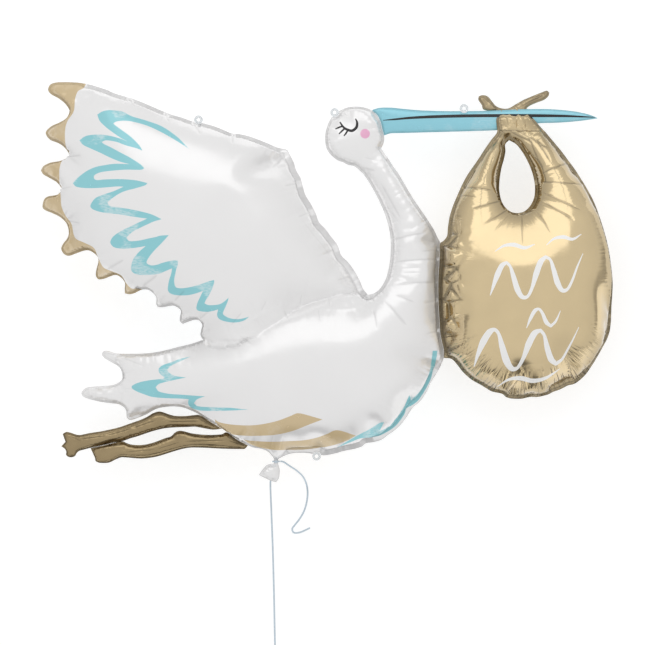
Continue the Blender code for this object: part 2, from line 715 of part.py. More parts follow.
def build_knot(grid, collection, helpers, material):
    """The ribbon wound round the gathered neck, with the knot's lump in front."""
    ring_radius = max(NECK_HALF_WIDTH, NECK_HALF_THICKNESS) + KNOT_LOOSENESS + KNOT_WIRE_RADIUS
    x, y = grid.place(TIE)
    bpy.ops.mesh.primitive_torus_add(
        major_radius=ring_radius,
        minor_radius=KNOT_WIRE_RADIUS,
        major_segments=16,
        minor_segments=8,
        location=(x, y, SEAM_HEIGHT),
        rotation=(math.pi / 2, 0, 0),
    )
    ring = bpy.context.object
    ring.name = ring.data.name = "ribbon_knot"
    ring.data.materials.append(material)
    move_to(ring, collection)
    bpy.ops.mesh.primitive_uv_sphere_add(
        segments=10,
        ring_count=7,
        radius=KNOT_LUMP_RADIUS,
        location=(x, y, SEAM_HEIGHT + ring_radius + 0.5 * KNOT_LUMP_RADIUS),
    )
    lump = bpy.context.object
    lump.name = "knot_lump"
    move_to(lump, helpers)
    lump.hide_render = True
    lump.display_type = "WIRE"
    union = ring.modifiers.new("lump", "BOOLEAN")
    union.operation = "UNION"
    union.object = lump
    return ring_radius + KNOT_WIRE_RADIUS


def move_to(obj, collection):
    for owner in list(obj.users_collection):
        owner.objects.unlink(obj)
    collection.objects.link(obj)


def build_ribbon(name, start, route, grid, collection, material):
    """A plain tube along one end of the ribbon."""
    points = np.vstack([start, grid.place_3d(route)])
    line = even_steps(curve_through(points, 0.25 * RIBBON_WIDTH), RIBBON_STEP)
    curve = bpy.data.curves.new(name, "CURVE")
    curve.dimensions = "3D"
    curve.bevel_depth = 0.5 * RIBBON_WIDTH
    curve.bevel_resolution = 2
    curve.use_fill_caps = True
    spline = curve.splines.new("POLY")
    spline.points.add(len(line) - 1)
    for point, place in zip(spline.points, line):
        point.co = (*place, 1)
    add_object(name, curve, collection, material)
    return line


def even_steps(line, step):
    """The line read again at even steps of its own length."""
    along = np.concatenate([[0], np.cumsum(np.linalg.norm(np.diff(line, axis=0), axis=1))])
    places = np.linspace(0, along[-1], max(2, round(along[-1] / step)) + 1)
    return np.column_stack([np.interp(places, along, line[:, axis]) for axis in range(3)])


def build_end_knot(end, before, collection, material):
    """The knot at the long end, lying on the floor just past the ribbon's end."""
    along = (end - before) / np.linalg.norm(end - before)
    centre = end + along * (END_KNOT_RADIUS + END_KNOT_GAP)
    bpy.ops.mesh.primitive_uv_sphere_add(
        segments=12,
        ring_count=8,
        radius=END_KNOT_RADIUS,
        location=(centre[0], centre[1], END_KNOT_RADIUS + FLOOR_GAP),
    )
    knot = bpy.context.object
    knot.name = knot.data.name = "ribbon_end_knot"
    knot.data.materials.append(material)
    move_to(knot, collection)


def main():
    clear_scene()
    parts = bpy.data.collections.new(COLLECTION)
    helpers = bpy.data.collections.new("cutters")
    bpy.context.scene.collection.children.link(parts)
    bpy.context.scene.collection.children.link(helpers)

    white = new_material("white foil", (0.82, 0.82, 0.84), 0.28, 0.35)
    blue = new_material("blue foil", (0.2, 0.52, 0.66), 0.35, 0.2)
    gold = new_material("gold foil", (0.72, 0.53, 0.26), 0.25, 0.85)
    bronze = new_material("bronze foil", (0.5, 0.34, 0.16), 0.28, 0.85)
    clear = new_material("clear film", (0.8, 0.8, 0.8), 0.2, 0.0)
    ribbon = new_material("white ribbon", (0.85, 0.85, 0.86), 0.4, 0.0)

    grid = Grid(figure_outlines())
    build_envelope(grid, parts, white)
    build_bundle(grid, parts, gold)
    build_beak(grid, parts, blue)
    build_legs(grid, parts, bronze)
    for name in TAB_PLACES:
        build_tab(name, grid, parts, clear)
    reach = build_knot(grid, parts, helpers, ribbon)
    x, y = grid.place(TIE)
    below = (x, y, SEAM_HEIGHT - reach - TOUCH_GAP)
    beside_knot = (x + reach + TOUCH_GAP, y, SEAM_HEIGHT)
    line = build_ribbon("ribbon_long_end", below, LONG_END_ROUTE, grid, parts, ribbon)
    build_ribbon("ribbon_short_end", beside_knot, SHORT_END_ROUTE, grid, parts, ribbon)
    build_end_knot(line[-1], line[-2], parts, ribbon)


if __name__ == "__main__":
    main()
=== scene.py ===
"""Looks of the stork foil balloon: printed foil bags, bill, legs, hang tabs and curling ribbon."""

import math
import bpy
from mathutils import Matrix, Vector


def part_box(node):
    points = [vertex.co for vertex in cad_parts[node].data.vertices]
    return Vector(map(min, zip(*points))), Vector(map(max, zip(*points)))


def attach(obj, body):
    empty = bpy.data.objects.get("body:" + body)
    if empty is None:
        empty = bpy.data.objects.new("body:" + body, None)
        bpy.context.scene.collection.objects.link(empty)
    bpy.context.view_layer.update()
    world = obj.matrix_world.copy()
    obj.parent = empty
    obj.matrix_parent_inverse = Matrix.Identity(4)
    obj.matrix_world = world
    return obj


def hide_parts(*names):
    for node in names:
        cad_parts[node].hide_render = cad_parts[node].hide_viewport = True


bl_info = {
    "name": "Stork Foil Balloon",
    "version": (1, 0, 0),
    "blender": (4, 5, 0),
    "location": "View3D > Sidebar > Stork Balloon",
    "description": "Builds an inflated stork balloon with its bundle, bill, legs, tabs and ribbon",
    "category": "Add Mesh",
}

import bpy
import numpy as np
from mathutils import Vector, noise
from mathutils.bvhtree import BVHTree
from mathutils.geometry import delaunay_2d_cdt
from mathutils.kdtree import KDTree

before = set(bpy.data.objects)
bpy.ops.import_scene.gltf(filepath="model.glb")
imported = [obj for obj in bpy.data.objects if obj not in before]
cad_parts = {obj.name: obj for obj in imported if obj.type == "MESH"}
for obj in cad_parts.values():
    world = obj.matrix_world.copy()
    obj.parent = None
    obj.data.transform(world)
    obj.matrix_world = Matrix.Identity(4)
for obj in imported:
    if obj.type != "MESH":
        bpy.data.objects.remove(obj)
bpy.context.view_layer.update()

# The drawing's grid: squares along the figure, and the square at the middle of its box
FIGURE_SQUARES = 571.856
GRID_MIDDLE = (326.728, 282.3)
PICTURE_SQUARES = 645
PICTURE_MIDDLE = (322.5, 322.5)
FIGURE_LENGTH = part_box("bundle")[1].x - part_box("stork_envelope")[0].x
UNIT = FIGURE_LENGTH / FIGURE_SQUARES

# The welded edges lie in the plane halfway through the flat tabs
SEAM_HEIGHT = 0.5 * (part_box("wing_tab")[0].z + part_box("wing_tab")[1].z)
SHEET_GAP = 0.0004
# Distances to a line are read from marks this far apart along it
MARK_STEP = 0.0006
# A crease's depth, width and shoulder in metres for each unit of its row, and the depths that
# count as one whole fold when creases and crumples get their painted shade
DENT_DEPTH = 0.0007
DENT_WIDTH = 0.0006
DENT_SHOULDER = 0.0004
WHOLE_DENT = 0.0014
WHOLE_CRUMPLE = 0.003
# The welded edge's waves: how far out from its inner line they grow, and their spacing
RUFFLE_REACH = 0.006
RUFFLE_SPACING = 0.022

# The fold between the wing and the body, on the drawing's grid
CREASE = [
    (207, 337.3), (222, 336.7), (237, 331), (252, 321.5), (270, 311), (288, 306.5),
    (310, 307), (330, 308.7), (346, 309.3), (358, 306.5), (365.5, 300.5),
]
TIE = (276.1, 461.4)

# Printed shapes on the drawing's grid
WING_STROKE_OUTER = [
    (192, 152.8), (180, 140.5), (165, 130), (150, 124.2), (135, 119.6), (125, 114.6),
    (115, 113.3), (110, 113.3), (105, 114.6), (100.4, 117.5), (103.3, 124.2), (110, 130.8),
    (118.3, 137.1), (125, 141.7), (131.7, 145.4), (125, 142.5), (115, 139.6), (105, 137.9),
    (95, 137.9), (88.3, 139.2), (82.9, 142.9), (86.7, 147.5), (95, 151.7), (105, 156.3),
    (115, 161.3), (125, 165.4), (134.2, 167.9), (120, 167.3), (110, 168.3), (100, 170),
    (91.7, 173.3), (85, 177.5), (80, 181.7), (76.7, 185.4), (80, 188.8), (88.3, 190.4),
    (98.3, 190.8), (110, 190.4), (122.5, 189.6), (128.3, 190), (118.3, 194.2), (110, 196.7),
    (101.7, 199.6), (98.3, 202), (95.4, 205.8), (94.6, 208.8), (97.5, 211.7), (105, 214.2),
    (115, 215.8), (125, 217), (135, 218.8), (145, 220.4), (151.7, 221.3), (143.3, 225),
    (135, 228.8), (126.7, 232.5), (118.3, 237.5), (115, 241.7), (114.6, 245), (118.3, 248.8),
    (126.7, 250.2), (138.3, 249.6), (150, 247.9), (143.3, 253.3), (137.5, 260), (135, 266.7),
    (135, 271.7), (138.3, 274.6), (145, 275.8), (155, 275.7), (163.3, 274.6), (167.5, 272.9),
    (175.8, 269.6), (174.6, 275), (172.5, 280.8), (171.3, 285.8), (170.8, 290.8), (173.3, 294.2),
    (180, 295.8), (190, 295.8), (198.3, 294.2), (205.8, 291.7), (203.3, 296.7), (200, 303.3),
    (198.8, 309.2), (201.7, 311.3), (210, 312), (216.7, 310.8), (220.4, 309.6), (219.2, 315),
    (221.3, 319.2), (228.3, 321.7), (236.7, 322.5), (245, 320.8), (250.8, 316.7),
]
WING_STROKE_INNER = [
    (248.3, 317.5), (240, 319.2), (231.7, 318.3), (226.7, 315.8), (225, 313.3), (227.5, 307.5),
    (230, 301.7), (230.8, 298.3), (225.8, 302.5), (221.7, 304.6), (216.7, 305.4),
    (210.8, 305.4), (207, 303.8), (208.3, 300.8), (211.7, 295.8), (215, 289.2), (217, 283.3),
    (216.8, 281), (210, 282.9), (201.7, 285.8), (193.3, 287.9), (185, 289), (179.6, 288.3),
    (177.9, 285.8), (177.5, 280.8), (178.8, 275), (180, 270), (181.3, 266.7), (181.7, 262.3),
    (178.3, 261.9), (171.7, 262.9), (165, 264.6), (161.7, 265.8), (155.8, 266.7),
    (151.7, 265.4), (150.4, 263.3), (153.3, 258.3), (158.3, 252.5), (166, 245), (173, 237.5),
    (165, 237.9), (160, 239.2), (151.7, 240.8), (143.3, 242.5), (133.8, 242.9), (130.8, 239.6),
    (136.7, 234.2), (143.3, 230.8), (151.7, 227), (158.3, 224.2), (166, 222), (156.7, 217.5),
    (146.7, 214.6), (135, 212), (123.3, 210), (115, 208.8), (112, 205.4), (115, 202.5),
    (122.5, 197.5), (130, 194.2), (140, 191.7), (150, 188.8), (152, 186.7), (140, 183.8),
    (125, 182.5), (110, 182.5), (100.8, 182.9), (98.3, 180.4), (99.2, 177.9), (105, 175.4),
    (115, 174.2), (130, 173.3), (145.8, 173.6), (148.8, 172.1), (145, 168.3), (135, 161.7),
    (125, 156.3), (115, 150.8), (108.3, 147.5), (105.8, 145.4), (110, 143.8), (120, 145.4),
    (130, 149.2), (140, 152), (146.7, 154.6), (143.3, 149.2), (135, 140.8), (125, 133.3),
    (118.3, 128.3), (117, 126.7), (120, 125), (126.7, 124.2), (135, 125), (150, 129.2),
    (165, 136.2), (180, 145),
]
TAIL_STROKE = [
    (192, 356.2), (181.5, 358.5), (172.3, 362), (164.2, 364.8), (160.2, 368.8), (162, 373.5),
    (166.5, 377), (165.4, 378), (150.4, 379.8), (140, 382.1), (133, 385.6), (133.7, 388.5),
    (138.8, 391.3), (146.9, 394.2), (153.8, 396.3), (165.4, 397.3), (182.7, 397.7),
    (190.2, 398.3), (189.6, 402.9), (193, 407.5), (203.5, 409.8), (230, 409.2), (250, 408),
    (230, 406.3), (211.5, 406.1), (198.8, 405.2), (195.4, 402.3), (198.8, 398.3), (206.7, 395.2),
    (198.8, 394.8), (182.7, 393.7), (171.2, 393), (160.8, 390.8), (157.3, 386.7),
    (160.8, 383.3), (171, 380.4), (187.9, 376.7), (177, 375.2), (171.2, 372.3), (168.8, 369.4),
    (172.5, 365.5), (181.5, 361),
]
CHEST_STROKE = [
    (431.9, 350.5), (436.7, 350.5), (435.8, 360), (433, 370), (430.8, 378.8), (426.4, 387.7),
    (422, 395), (417.6, 401), (411.7, 405.4), (406.5, 408.3), (404.3, 414.2), (396.9, 424.5),
    (389.5, 430.4), (379.2, 435.6), (369.6, 437), (360, 437.5), (349.7, 441.5), (336.5, 446.7),
    (349.7, 438.6), (360, 432.7), (370.4, 427.5), (379.2, 421.6), (383.6, 420.9), (379, 430.5),
    (389, 425.5), (398, 414.5), (404.5, 405), (408.7, 394.3), (411, 400.5), (418, 392.5),
    (424, 383), (428.6, 372), (431, 361),
]
BELLY_BANDS = [
    [
        (216, 418), (220, 420.9), (231.8, 423), (249.5, 423.8), (264.2, 422.3), (279, 418.7),
        (290.8, 414.2), (299.6, 411.3), (322.5, 417.5), (308.5, 423), (293.7, 429),
        (279, 432.7), (264.2, 434.1), (246.5, 434.4), (228, 432.2), (218, 426),
    ],
    [
        (244, 438.2), (249.5, 439.3), (271.6, 440.3), (299.6, 439.3), (314.4, 437),
        (326.1, 432.7), (337.2, 428.5), (355.6, 434.4), (346.8, 439.3), (335, 443.7),
        (320.3, 447.4), (302.6, 449.6), (286.3, 449.6), (268, 448), (252, 443.8),
    ],
]
# The gold of the feather tips reaches from the rim to this line, which runs down the wing
FEATHER_GOLD = [
    (92, 70), (83.6, 88.7), (79, 92), (77, 100), (76, 113), (70, 122), (67.5, 130), (68, 145),
    (70, 155), (64, 163), (62, 172), (62.5, 185), (63.5, 198), (64, 208), (68, 217), (74, 225),
    (76, 235), (79, 240), (88, 244), (97, 249), (101, 258), (106, 268), (115, 272), (124, 276),
    (129, 284), (134, 289), (142, 289.5), (148, 300), (120, 310), (30, 260), (20, 70),
]
# Brush lines on the drawing's grid: points with half widths
LID = [
    (339.8, 122.7, 0.7), (343.7, 128.5, 1.1), (348.5, 131.3, 1.35), (352.3, 131.8, 1.4),
    (356.2, 128.5, 1.4), (356.9, 123.7, 1.1), (355.2, 119.8, 0.5),
]
LASHES = [
    [(341.7, 127.3, 0.9), (338.4, 128.5, 0.9), (335.2, 129.9, 0.5)],
    [(344.2, 129.9, 0.9), (341.4, 132.5, 0.9), (338.8, 135.2, 0.5)],
    [(347.4, 131.7, 0.9), (345.8, 134.5, 0.9), (343.7, 137.1, 0.5)],
]
CHEEK = (364.8, 134.9, 4.8)
MOUTH_LINE = [
    (383, 120.5, 0.3), (395, 119.6, 0.9), (410, 118.2, 1.2), (430, 117.1, 1.5),
    (460, 116.2, 1.6), (500, 115.8, 1.6), (540, 115.9, 1.5), (565, 116.2, 1.2),
    (582, 116.8, 0.8), (595, 117.3, 0.3),
]
# Three rows of brushed waves on the bundle
FLOURISHES = [
    [
        (486, 296, 0.4), (489, 287, 1.5), (493, 276, 2.7), (497.5, 267, 2.4), (502, 264, 1.5),
        (505.5, 268, 1.3), (508.5, 278, 2.3), (512, 290, 2.8), (516.5, 297.5, 2.2),
        (522, 297, 1.4), (526.5, 288, 1.6), (530.5, 275, 2.8), (535, 263.5, 2.7),
        (540, 258.5, 1.6), (544.5, 261.5, 1.3), (547.5, 271, 2.2), (551, 283.5, 2.8),
        (555.5, 291, 2.2), (561, 290, 1.4), (566, 281, 1.2), (571, 268, 0.9), (577, 255, 0.3),
    ],
    [(491, 253, 0.3), (500, 247.5, 1.3), (510, 246.5, 2.1), (520, 249.5, 1.7), (530, 246, 0.3)],
    [(541, 247, 0.3), (549, 240.5, 1.2), (558, 239, 1.9), (567, 241, 1.4), (576, 236, 0.3)],
    [
        (521, 328, 0.3), (525, 318, 1.6), (529, 311, 1.9), (533, 309.5, 1.2), (536.5, 314, 1.5),
        (540, 322, 2.1), (544.5, 326, 1.4), (549.5, 321, 1.1), (554, 311, 0.3),
    ],
    [
        (472, 366, 0.4), (475, 354, 1.8), (480, 341, 3.3), (485.5, 332, 3.0), (490.5, 329.5, 1.7),
        (494.5, 334, 1.5), (498, 346, 2.8), (502.5, 359.5, 3.4), (508, 367.5, 2.7),
        (514, 367, 1.6), (519, 357, 1.9), (523.5, 343.5, 3.2), (529, 333, 3.0), (534.5, 330, 1.6),
        (538.5, 335, 1.5), (542, 347.5, 2.7), (546.5, 358.5, 3.0), (552, 363, 2.0),
        (558.5, 358, 1.3), (565, 345, 1.0), (573, 327, 0.3),
    ],
    [
        (496, 386, 0.3), (506, 379, 1.3), (518, 377.5, 2.3), (530, 380, 2.2), (543, 377, 1.6),
        (557, 368, 0.3),
    ],
]

# Creases pressed into the film: two ends on the grid, then DENT_DEPTH's and DENT_WIDTH's share
BODY_DENTS = [
    (391, 240.5, 424, 233.5, 2.4, 5), (395, 262.5, 439, 259, 2.6, 5), (394, 270, 420, 268, 1, 4),
    (395, 284, 436, 282.5, 2.6, 5), (393, 295, 414, 303, 2.2, 5), (383, 301, 406, 326, 2.6, 6),
    (372, 309, 376, 329, 2, 5), (399, 274, 423, 273, 0.9, 4), (353, 166, 376, 172, 2.6, 5),
    (374, 147, 388, 157, 2.2, 5), (362, 158, 380, 162, 1.4, 5), (380, 183, 401, 221, 2.2, 6),
    (386, 205, 400, 226, 1.2, 4), (395, 244, 397, 262, 1, 4), (64, 159, 84, 158, 2.4, 5),
    (66, 221, 82, 224, 2.2, 5), (63, 190, 76, 189, 1.6, 5), (108, 271, 128, 261, 2.6, 6),
    (144, 288, 161, 276, 2.6, 6), (176, 302, 188, 291, 2, 6), (198, 322, 212, 311, 1.8, 6),
    (234, 134, 234, 147, 2.2, 5), (193, 122, 203, 138, 2.2, 6), (165, 113, 172, 126, 1.6, 5),
    (128, 98, 138, 110, 1.4, 5), (288, 152, 272, 170, 2.6, 7), (300, 184, 284, 188, 1.8, 6),
    (312, 212, 298, 219, 1.6, 6), (336, 248, 322, 256, 1.6, 6), (352, 276, 336, 281, 1.6, 6),
    (232, 326, 244, 312, 1.6, 6), (262, 312, 268, 300, 1.4, 6), (300, 306, 302, 294, 1.4, 6),
    (330, 308, 328, 296, 1.4, 6), (240, 335, 254, 344, 1.4, 6), (284, 309, 290, 322, 1.4, 6),
    (318, 309, 320, 321, 1.4, 6), (122, 357, 146, 366, 1.6, 6), (124, 388, 150, 390, 1.2, 6),
    (438, 250, 420, 252, 1.8, 6), (439, 300, 424, 303, 1.6, 6), (440, 330, 424, 334, 1.8, 6),
    (436, 372, 420, 366, 1, 5), (424, 394, 408, 385, 1, 5), (404, 420, 392, 408, 1, 5),
    (366, 168, 383, 200, 1.4, 3.5), (383, 200, 396, 238, 1.4, 3.5), (396, 238, 399, 262, 1, 3.5),
    (362, 172, 380, 206, 0.9, 3), (302, 222, 330, 256, 1.2, 4), (330, 256, 359, 289, 1.2, 4),
    (270, 448, 274, 433, 1.4, 5), (281, 452, 284, 434, 1.4, 5), (240, 440, 250, 428, 1, 5),
]
BUNDLE_DENTS = [
    (463, 188, 491, 191.5, 2.2, 5), (470, 209.5, 500, 202, 2.2, 5), (480, 227, 507, 210, 2, 5),
    (489, 235, 508, 214, 1.2, 4), (519, 215, 518, 248, 1.8, 5), (533, 212, 546, 236, 2, 5),
    (541, 204, 569, 222, 2.2, 5), (538, 193, 578, 213, 2, 5), (539, 175, 575, 160, 2.6, 5),
    (534, 183, 583, 186, 2, 5), (536, 141, 548, 163, 2.6, 6), (528, 139, 536, 160, 2, 5),
    (458, 196, 474, 198, 1.6, 5), (495, 148, 489, 166, 1.6, 5), (503, 132, 489, 152, 2, 4),
    (505, 133, 499, 150, 1.6, 4), (510, 132, 530, 143, 2, 4), (516, 131, 548, 150, 2, 5),
    (498, 131, 543, 131.5, 2, 4), (484, 97, 497, 110, 2.2, 3), (547, 93, 520, 107, 2.2, 3),
    (501, 130, 500, 118, 2.2, 2), (508, 129, 507, 118, 1.6, 2), (517, 129, 516, 118, 1.8, 2),
    (526, 129, 524, 118, 1.4, 2), (540, 97, 524, 103, 1.4, 2),
]
LEG_DENTS = [
    (80, 439, 107, 435.5, 2, 3), (107, 435.5, 132, 428, 2, 3), (132, 428, 157, 420, 2, 3),
    (168, 421.5, 200, 421, 2.4, 3), (170, 417, 203, 416.5, 1.6, 3), (103, 443, 126, 435.5, 1.6, 3),
    (101, 446.5, 124, 444, 2, 3), (124, 452, 157, 449, 1.6, 3), (157, 449, 181, 441.5, 1.8, 3),
    (184, 441, 226, 440, 2.2, 3), (187, 446, 222, 444.5, 1.4, 3), (205, 418, 222, 430, 1.8, 3),
    (228, 440, 246, 446, 1.8, 3), (70, 436, 82, 441, 1.4, 3),
]

# Routes of the ribbon's ends: x, y on the grid, and the height above the floor in metres
LONG_END_ROUTE = [
    (276, 461.7, 0.1095), (275, 464.6, 0.0995), (272.6, 470, 0.085), (270.5, 477, 0.069),
    (269.6, 486, 0.051), (269.6, 497, 0.0335), (270, 510, 0.0185), (270.4, 524, 0.0085),
    (270.9, 538, 0.0038), (271.4, 552, 0.0028), (272, 572, 0.0028), (272.5, 592, 0.0028),
    (273, 614, 0.0028), (273.4, 636, 0.0028), (273.8, 655, 0.0028), (274, 665, 0.0034),
]
SHORT_END_ROUTE = [
    (283.5, 461.9, 0.1293), (290, 466.6, 0.116), (297.3, 472.4, 0.09), (303.2, 479.6, 0.059),
    (306.4, 488.5, 0.031), (307.3, 498, 0.0125), (306, 508, 0.0038), (303.3, 516.5, 0.0028),
    (299, 524, 0.0028), (294.5, 529.8, 0.0028), (291.5, 534, 0.0028), (293, 538, 0.0028),
    (299.5, 537.8, 0.0028), (309.8, 533.2, 0.0028),
]

# Widths of the body's welded edge in metres, each along a run of the rim on the drawing's grid
WELD_RUNS = [
    (0.017, [(366, 292), (354.5, 271), (337.5, 245), (316, 214), (303, 187), (294, 163), (290, 155)]),
    (0.011, [(283, 149), (248, 136), (213, 126), (172, 114.8), (125, 96.5), (98, 87)]),
    (0.015, [(290, 454), (325, 455.4), (366, 443.3), (394, 431), (413, 408), (430, 383), (438, 371)]),
    (0.008, [(443.6, 358), (440, 333), (438, 295), (440, 243), (413, 198), (388, 158), (384, 140)]),
    (0.006, [(370, 109.5), (350, 107), (330, 119), (325, 140), (337, 160), (358, 169), (381, 205)]),
    (0.008, [(386, 217), (391, 243), (385, 280), (376, 292)]),
    (0.005, [(70, 82), (48, 90), (44, 135), (42, 170), (44, 207), (62, 249), (100, 279), (157, 307)]),
    (0.005, [(181, 311), (201, 330), (203, 340), (165, 350), (104, 352), (82, 393), (126, 412)]),
    (0.005, [(190, 410), (227, 432), (253, 447), (268, 451)]),
    (0.0015, [(271.5, 456), (267, 465), (259, 475), (276, 482), (280, 470), (281, 458)]),
]
THIN_WELD = 0.005

# The knot band over the bundle. Above the row BAND_TOP the film is thin, and from BAND_FOOT up it
# is gathered round the knot. BAND_LIFTS gives rows with the share of BAND_LIFT that raises them,
# or below zero the share of BAND_DROP that lowers them
BAND_TOP = 131.5
BAND_FOOT = 134
KNOT = (505, 132.5)
BAND_LIFTS = [
    (141, 0.0), (131, 1.0), (125, 1.0), (119.6, 1.0), (117, 0.6), (115.3, 0.0), (113.6, -0.95),
    (111.4, -1.0), (80, -1.0),
]
BAND_LIFT = 0.0085
BAND_DROP = 0.0056

# Where the bundle presses against the chest
PRESSED_SIDE = [(440, 236), (440, 358)]

# The sky: an axis of the direction, the stretch of it that changes, and the levels at its ends
SKY_RAMPS = [
    ("Z", 0.3, 0.85, 0.74, 0.82),
    ("Y", -0.98, -0.86, 0.2, 1.0),
    ("X", -0.985, -0.9, 0.5, 1.0),
    ("X", 0.93, 0.99, 1.0, 0.6),
]


def size_property(name, description, default, lowest, unit="LENGTH"):
    return bpy.props.FloatProperty(
        name=name, description=description, default=default, min=lowest, unit=unit
    )


class StorkSizes(bpy.types.PropertyGroup):
    """Sizes of the balloon's film, welds and ribbon."""

    fine_step: size_property(
        "Fine step", "Spacing of the mesh beside the welded edges", 0.0055, 0.002
    )
    coarse_step: size_property(
        "Coarse step", "Spacing of the mesh in the middle of the panels", 0.009, 0.003
    )
    fine_reach: size_property(
        "Fine reach", "How far the fine mesh reaches in from the welded edges", 0.055, 0.01
    )
    fullness: size_property(
        "Fullness", "How much wider the flat film is cut than the bag that it fills", 0.5, 0.1, "NONE"
    )
    crease_depth: size_property(
        "Crease thickness", "Half thickness of the bag at the fold of wing and body", 0.052, 0.0
    )
    ruffle: size_property("Ruffle", "How far the welded edge waves up and down", 0.0024, 0.0)
    ribbon_width: size_property("Ribbon width", "Width of the curling ribbon", 0.005, 0.001)


def colour_property(name, description, default):
    return bpy.props.FloatVectorProperty(
        name=name,
        description=description,
        default=default,
        size=3,
        min=0.0,
        max=1.0,
        subtype="COLOR",
    )


class StorkColours(bpy.types.PropertyGroup):
    """Colours of the film, the prints and the ribbon."""

    white: colour_property("White foil", "The pearly white of the body", (0.937, 0.93, 0.93))
    gold: colour_property("Gold foil", "The bundle's warm gold", (0.745, 0.59, 0.343))
    feather: colour_property("Feather gold", "The gold of the feather tips", (0.68, 0.53, 0.31))
    aqua: colour_property("Aqua", "The pale blue of the brush strokes", (0.29, 0.67, 0.73))
    beak: colour_property("Beak blue", "The blue of the bill", (0.29, 0.67, 0.79))
    brush: colour_property("Brush white", "The white strokes on the bundle", (0.96, 0.955, 0.94))
    bronze: colour_property("Bronze foil", "The legs' bronze", (0.47, 0.36, 0.205))
    black: colour_property("Ink", "The ink of the eye and the mouth line", (0.012, 0.011, 0.012))
    pink: colour_property("Cheek pink", "The pink spot on the cheek", (0.9, 0.45, 0.66))
    ribbon: colour_property("Ribbon", "The ribbon's pale grey blue", (0.62, 0.72, 0.8))
    tabs: colour_property("Clear film", "The faint tint of the hang tabs", (0.9, 0.93, 0.95))


def on_grid(points):
    """Points of the drawing's grid, in metres on the floor plan."""
    points = np.array(points, float)
    return (points[:, :2] - GRID_MIDDLE) * (UNIT, -UNIT)


def route_points(start, route):
    """A ribbon's start in space, and the points of its route after it."""
    route = np.array(route, float)
    return np.vstack([start, np.column_stack([on_grid(route), route[:, 2]])])


def area_of(loop):
    """The area in a loop, below zero where it runs clockwise."""
    following = np.roll(loop, -1, axis=0)
    return 0.5 * float(np.sum(loop[:, 0] * following[:, 1] - following[:, 0] * loop[:, 1]))


def rim_loops(node, tallest):
    """The rims of a foil bag: the chains of its upright edge faces, the outer one first."""
    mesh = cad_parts[node].data
    steepest = 0.02
    links = {}
    for face in mesh.polygons:
        if abs(face.normal.z) > steepest:
            continue
        corners = [mesh.vertices[index].co for index in face.vertices]
        heights = [corner.z for corner in corners]
        if max(heights) - min(heights) > tallest:
            continue
        places = [(round(corner.x, 5), round(corner.y, 5)) for corner in corners]
        for index, start in enumerate(places):
            end = places[(index + 1) % len(places)]
            if start != end:
                links.setdefault(start, set()).add(end)
                links.setdefault(end, set()).add(start)
    loops = []
    while links:
        current = next(iter(links))
        loop = []
        while current is not None:
            loop.append(current)
            nearby = links.pop(current)
            current = next((place for place in sorted(nearby) if place in links), None)
        loops.append(np.array(loop))
    loops.sort(key=lambda loop: -abs(area_of(loop)))
    return [
        loop[::-1] if (area_of(loop) > 0) == (index > 0) else loop
        for index, loop in enumerate(loops)
    ]


def inside(points, loops):
    """Which points lie inside the loops, where a loop within a loop is a hole."""
    order = np.argsort(points[:, 1], kind="stable")
    x, y = points[order, 0], points[order, 1]
    odd = np.zeros(len(points), bool)
    for loop in loops:
        for (x0, y0), (x1, y1) in zip(loop, np.roll(loop, -1, axis=0)):
            if y0 == y1:
                continue
            first, last = np.searchsorted(y, (min(y0, y1), max(y0, y1)), side="right")
            cross = x0 + (y[first:last] - y0) * (x1 - x0) / (y1 - y0)
            odd[first:last] ^= x[first:last] < cross
    out = np.zeros(len(points), bool)
    out[order] = odd
    return out


def nearest_places(points, loops, lines=()):
    """The nearest place on the loops and lines to each point, and how far it is."""
    marks = []
    for group, closed in ((loops, True), (lines, False)):
        for line in group:
            ends = np.roll(line, -1, axis=0) if closed else line[1:]
            for start, end in zip(line, ends):
                pieces = max(1, math.ceil(float(np.hypot(*(end - start))) / MARK_STEP))
                shares = np.arange(pieces)[:, None] / pieces
                marks.append(start + shares * (end - start))
    marks = np.vstack(marks)
    finder = KDTree(len(marks))
    for index, (x, y) in enumerate(marks):
        finder.insert((x, y, 0), index)
    finder.balance()
    found = np.array([finder.find((x, y, 0))[1] for x, y in points], int)
    places = marks[found]
    gap = points - places
    return places, np.hypot(gap[:, 0], gap[:, 1])


def distance_to(points, loops, closed=True):
    if len(points) == 0:
        return np.zeros(0)
    groups = (loops, ()) if closed else ((), loops)
    return nearest_places(points, *groups)[1]


def smooth_loop(loop, step, corner=62, closed=True):
    """A smooth curve through the loop's points, which keeps turns of more than corner degrees."""
    longest = 1.2
    count = len(loop)
    before, after = np.roll(loop, 1, axis=0), np.roll(loop, -1, axis=0)
    back, ahead = loop - before, after - loop
    turn = np.arctan2(
        back[:, 0] * ahead[:, 1] - back[:, 1] * ahead[:, 0], (back * ahead).sum(axis=1)
    )
    sharp = np.abs(turn) > math.radians(corner)
    if not closed:
        sharp[0] = sharp[-1] = True
    line = []
    for index in range(count if closed else count - 1):
        following = (index + 1) % count
        start, end = loop[index], loop[following]
        length = float(np.hypot(*(end - start)))
        lead = end - start if sharp[index] else 0.5 * (end - loop[index - 1])
        trail = end - start if sharp[following] else 0.5 * (loop[(index + 2) % count] - start)
        for tangent in (lead, trail):
            size = float(np.hypot(*tangent))
            if size > longest * length:
                tangent *= longest * length / size
        pieces = max(1, round(length / step))
        for t in np.arange(pieces) / pieces:
            line.append(
                (2 * t**3 - 3 * t**2 + 1) * start
                + (3 * t**2 - 2 * t**3) * end
                + (t**3 - 2 * t**2 + t) * lead
                + (t**3 - t**2) * trail
            )
    if not closed:
        line.append(loop[-1])
    return np.array(line)


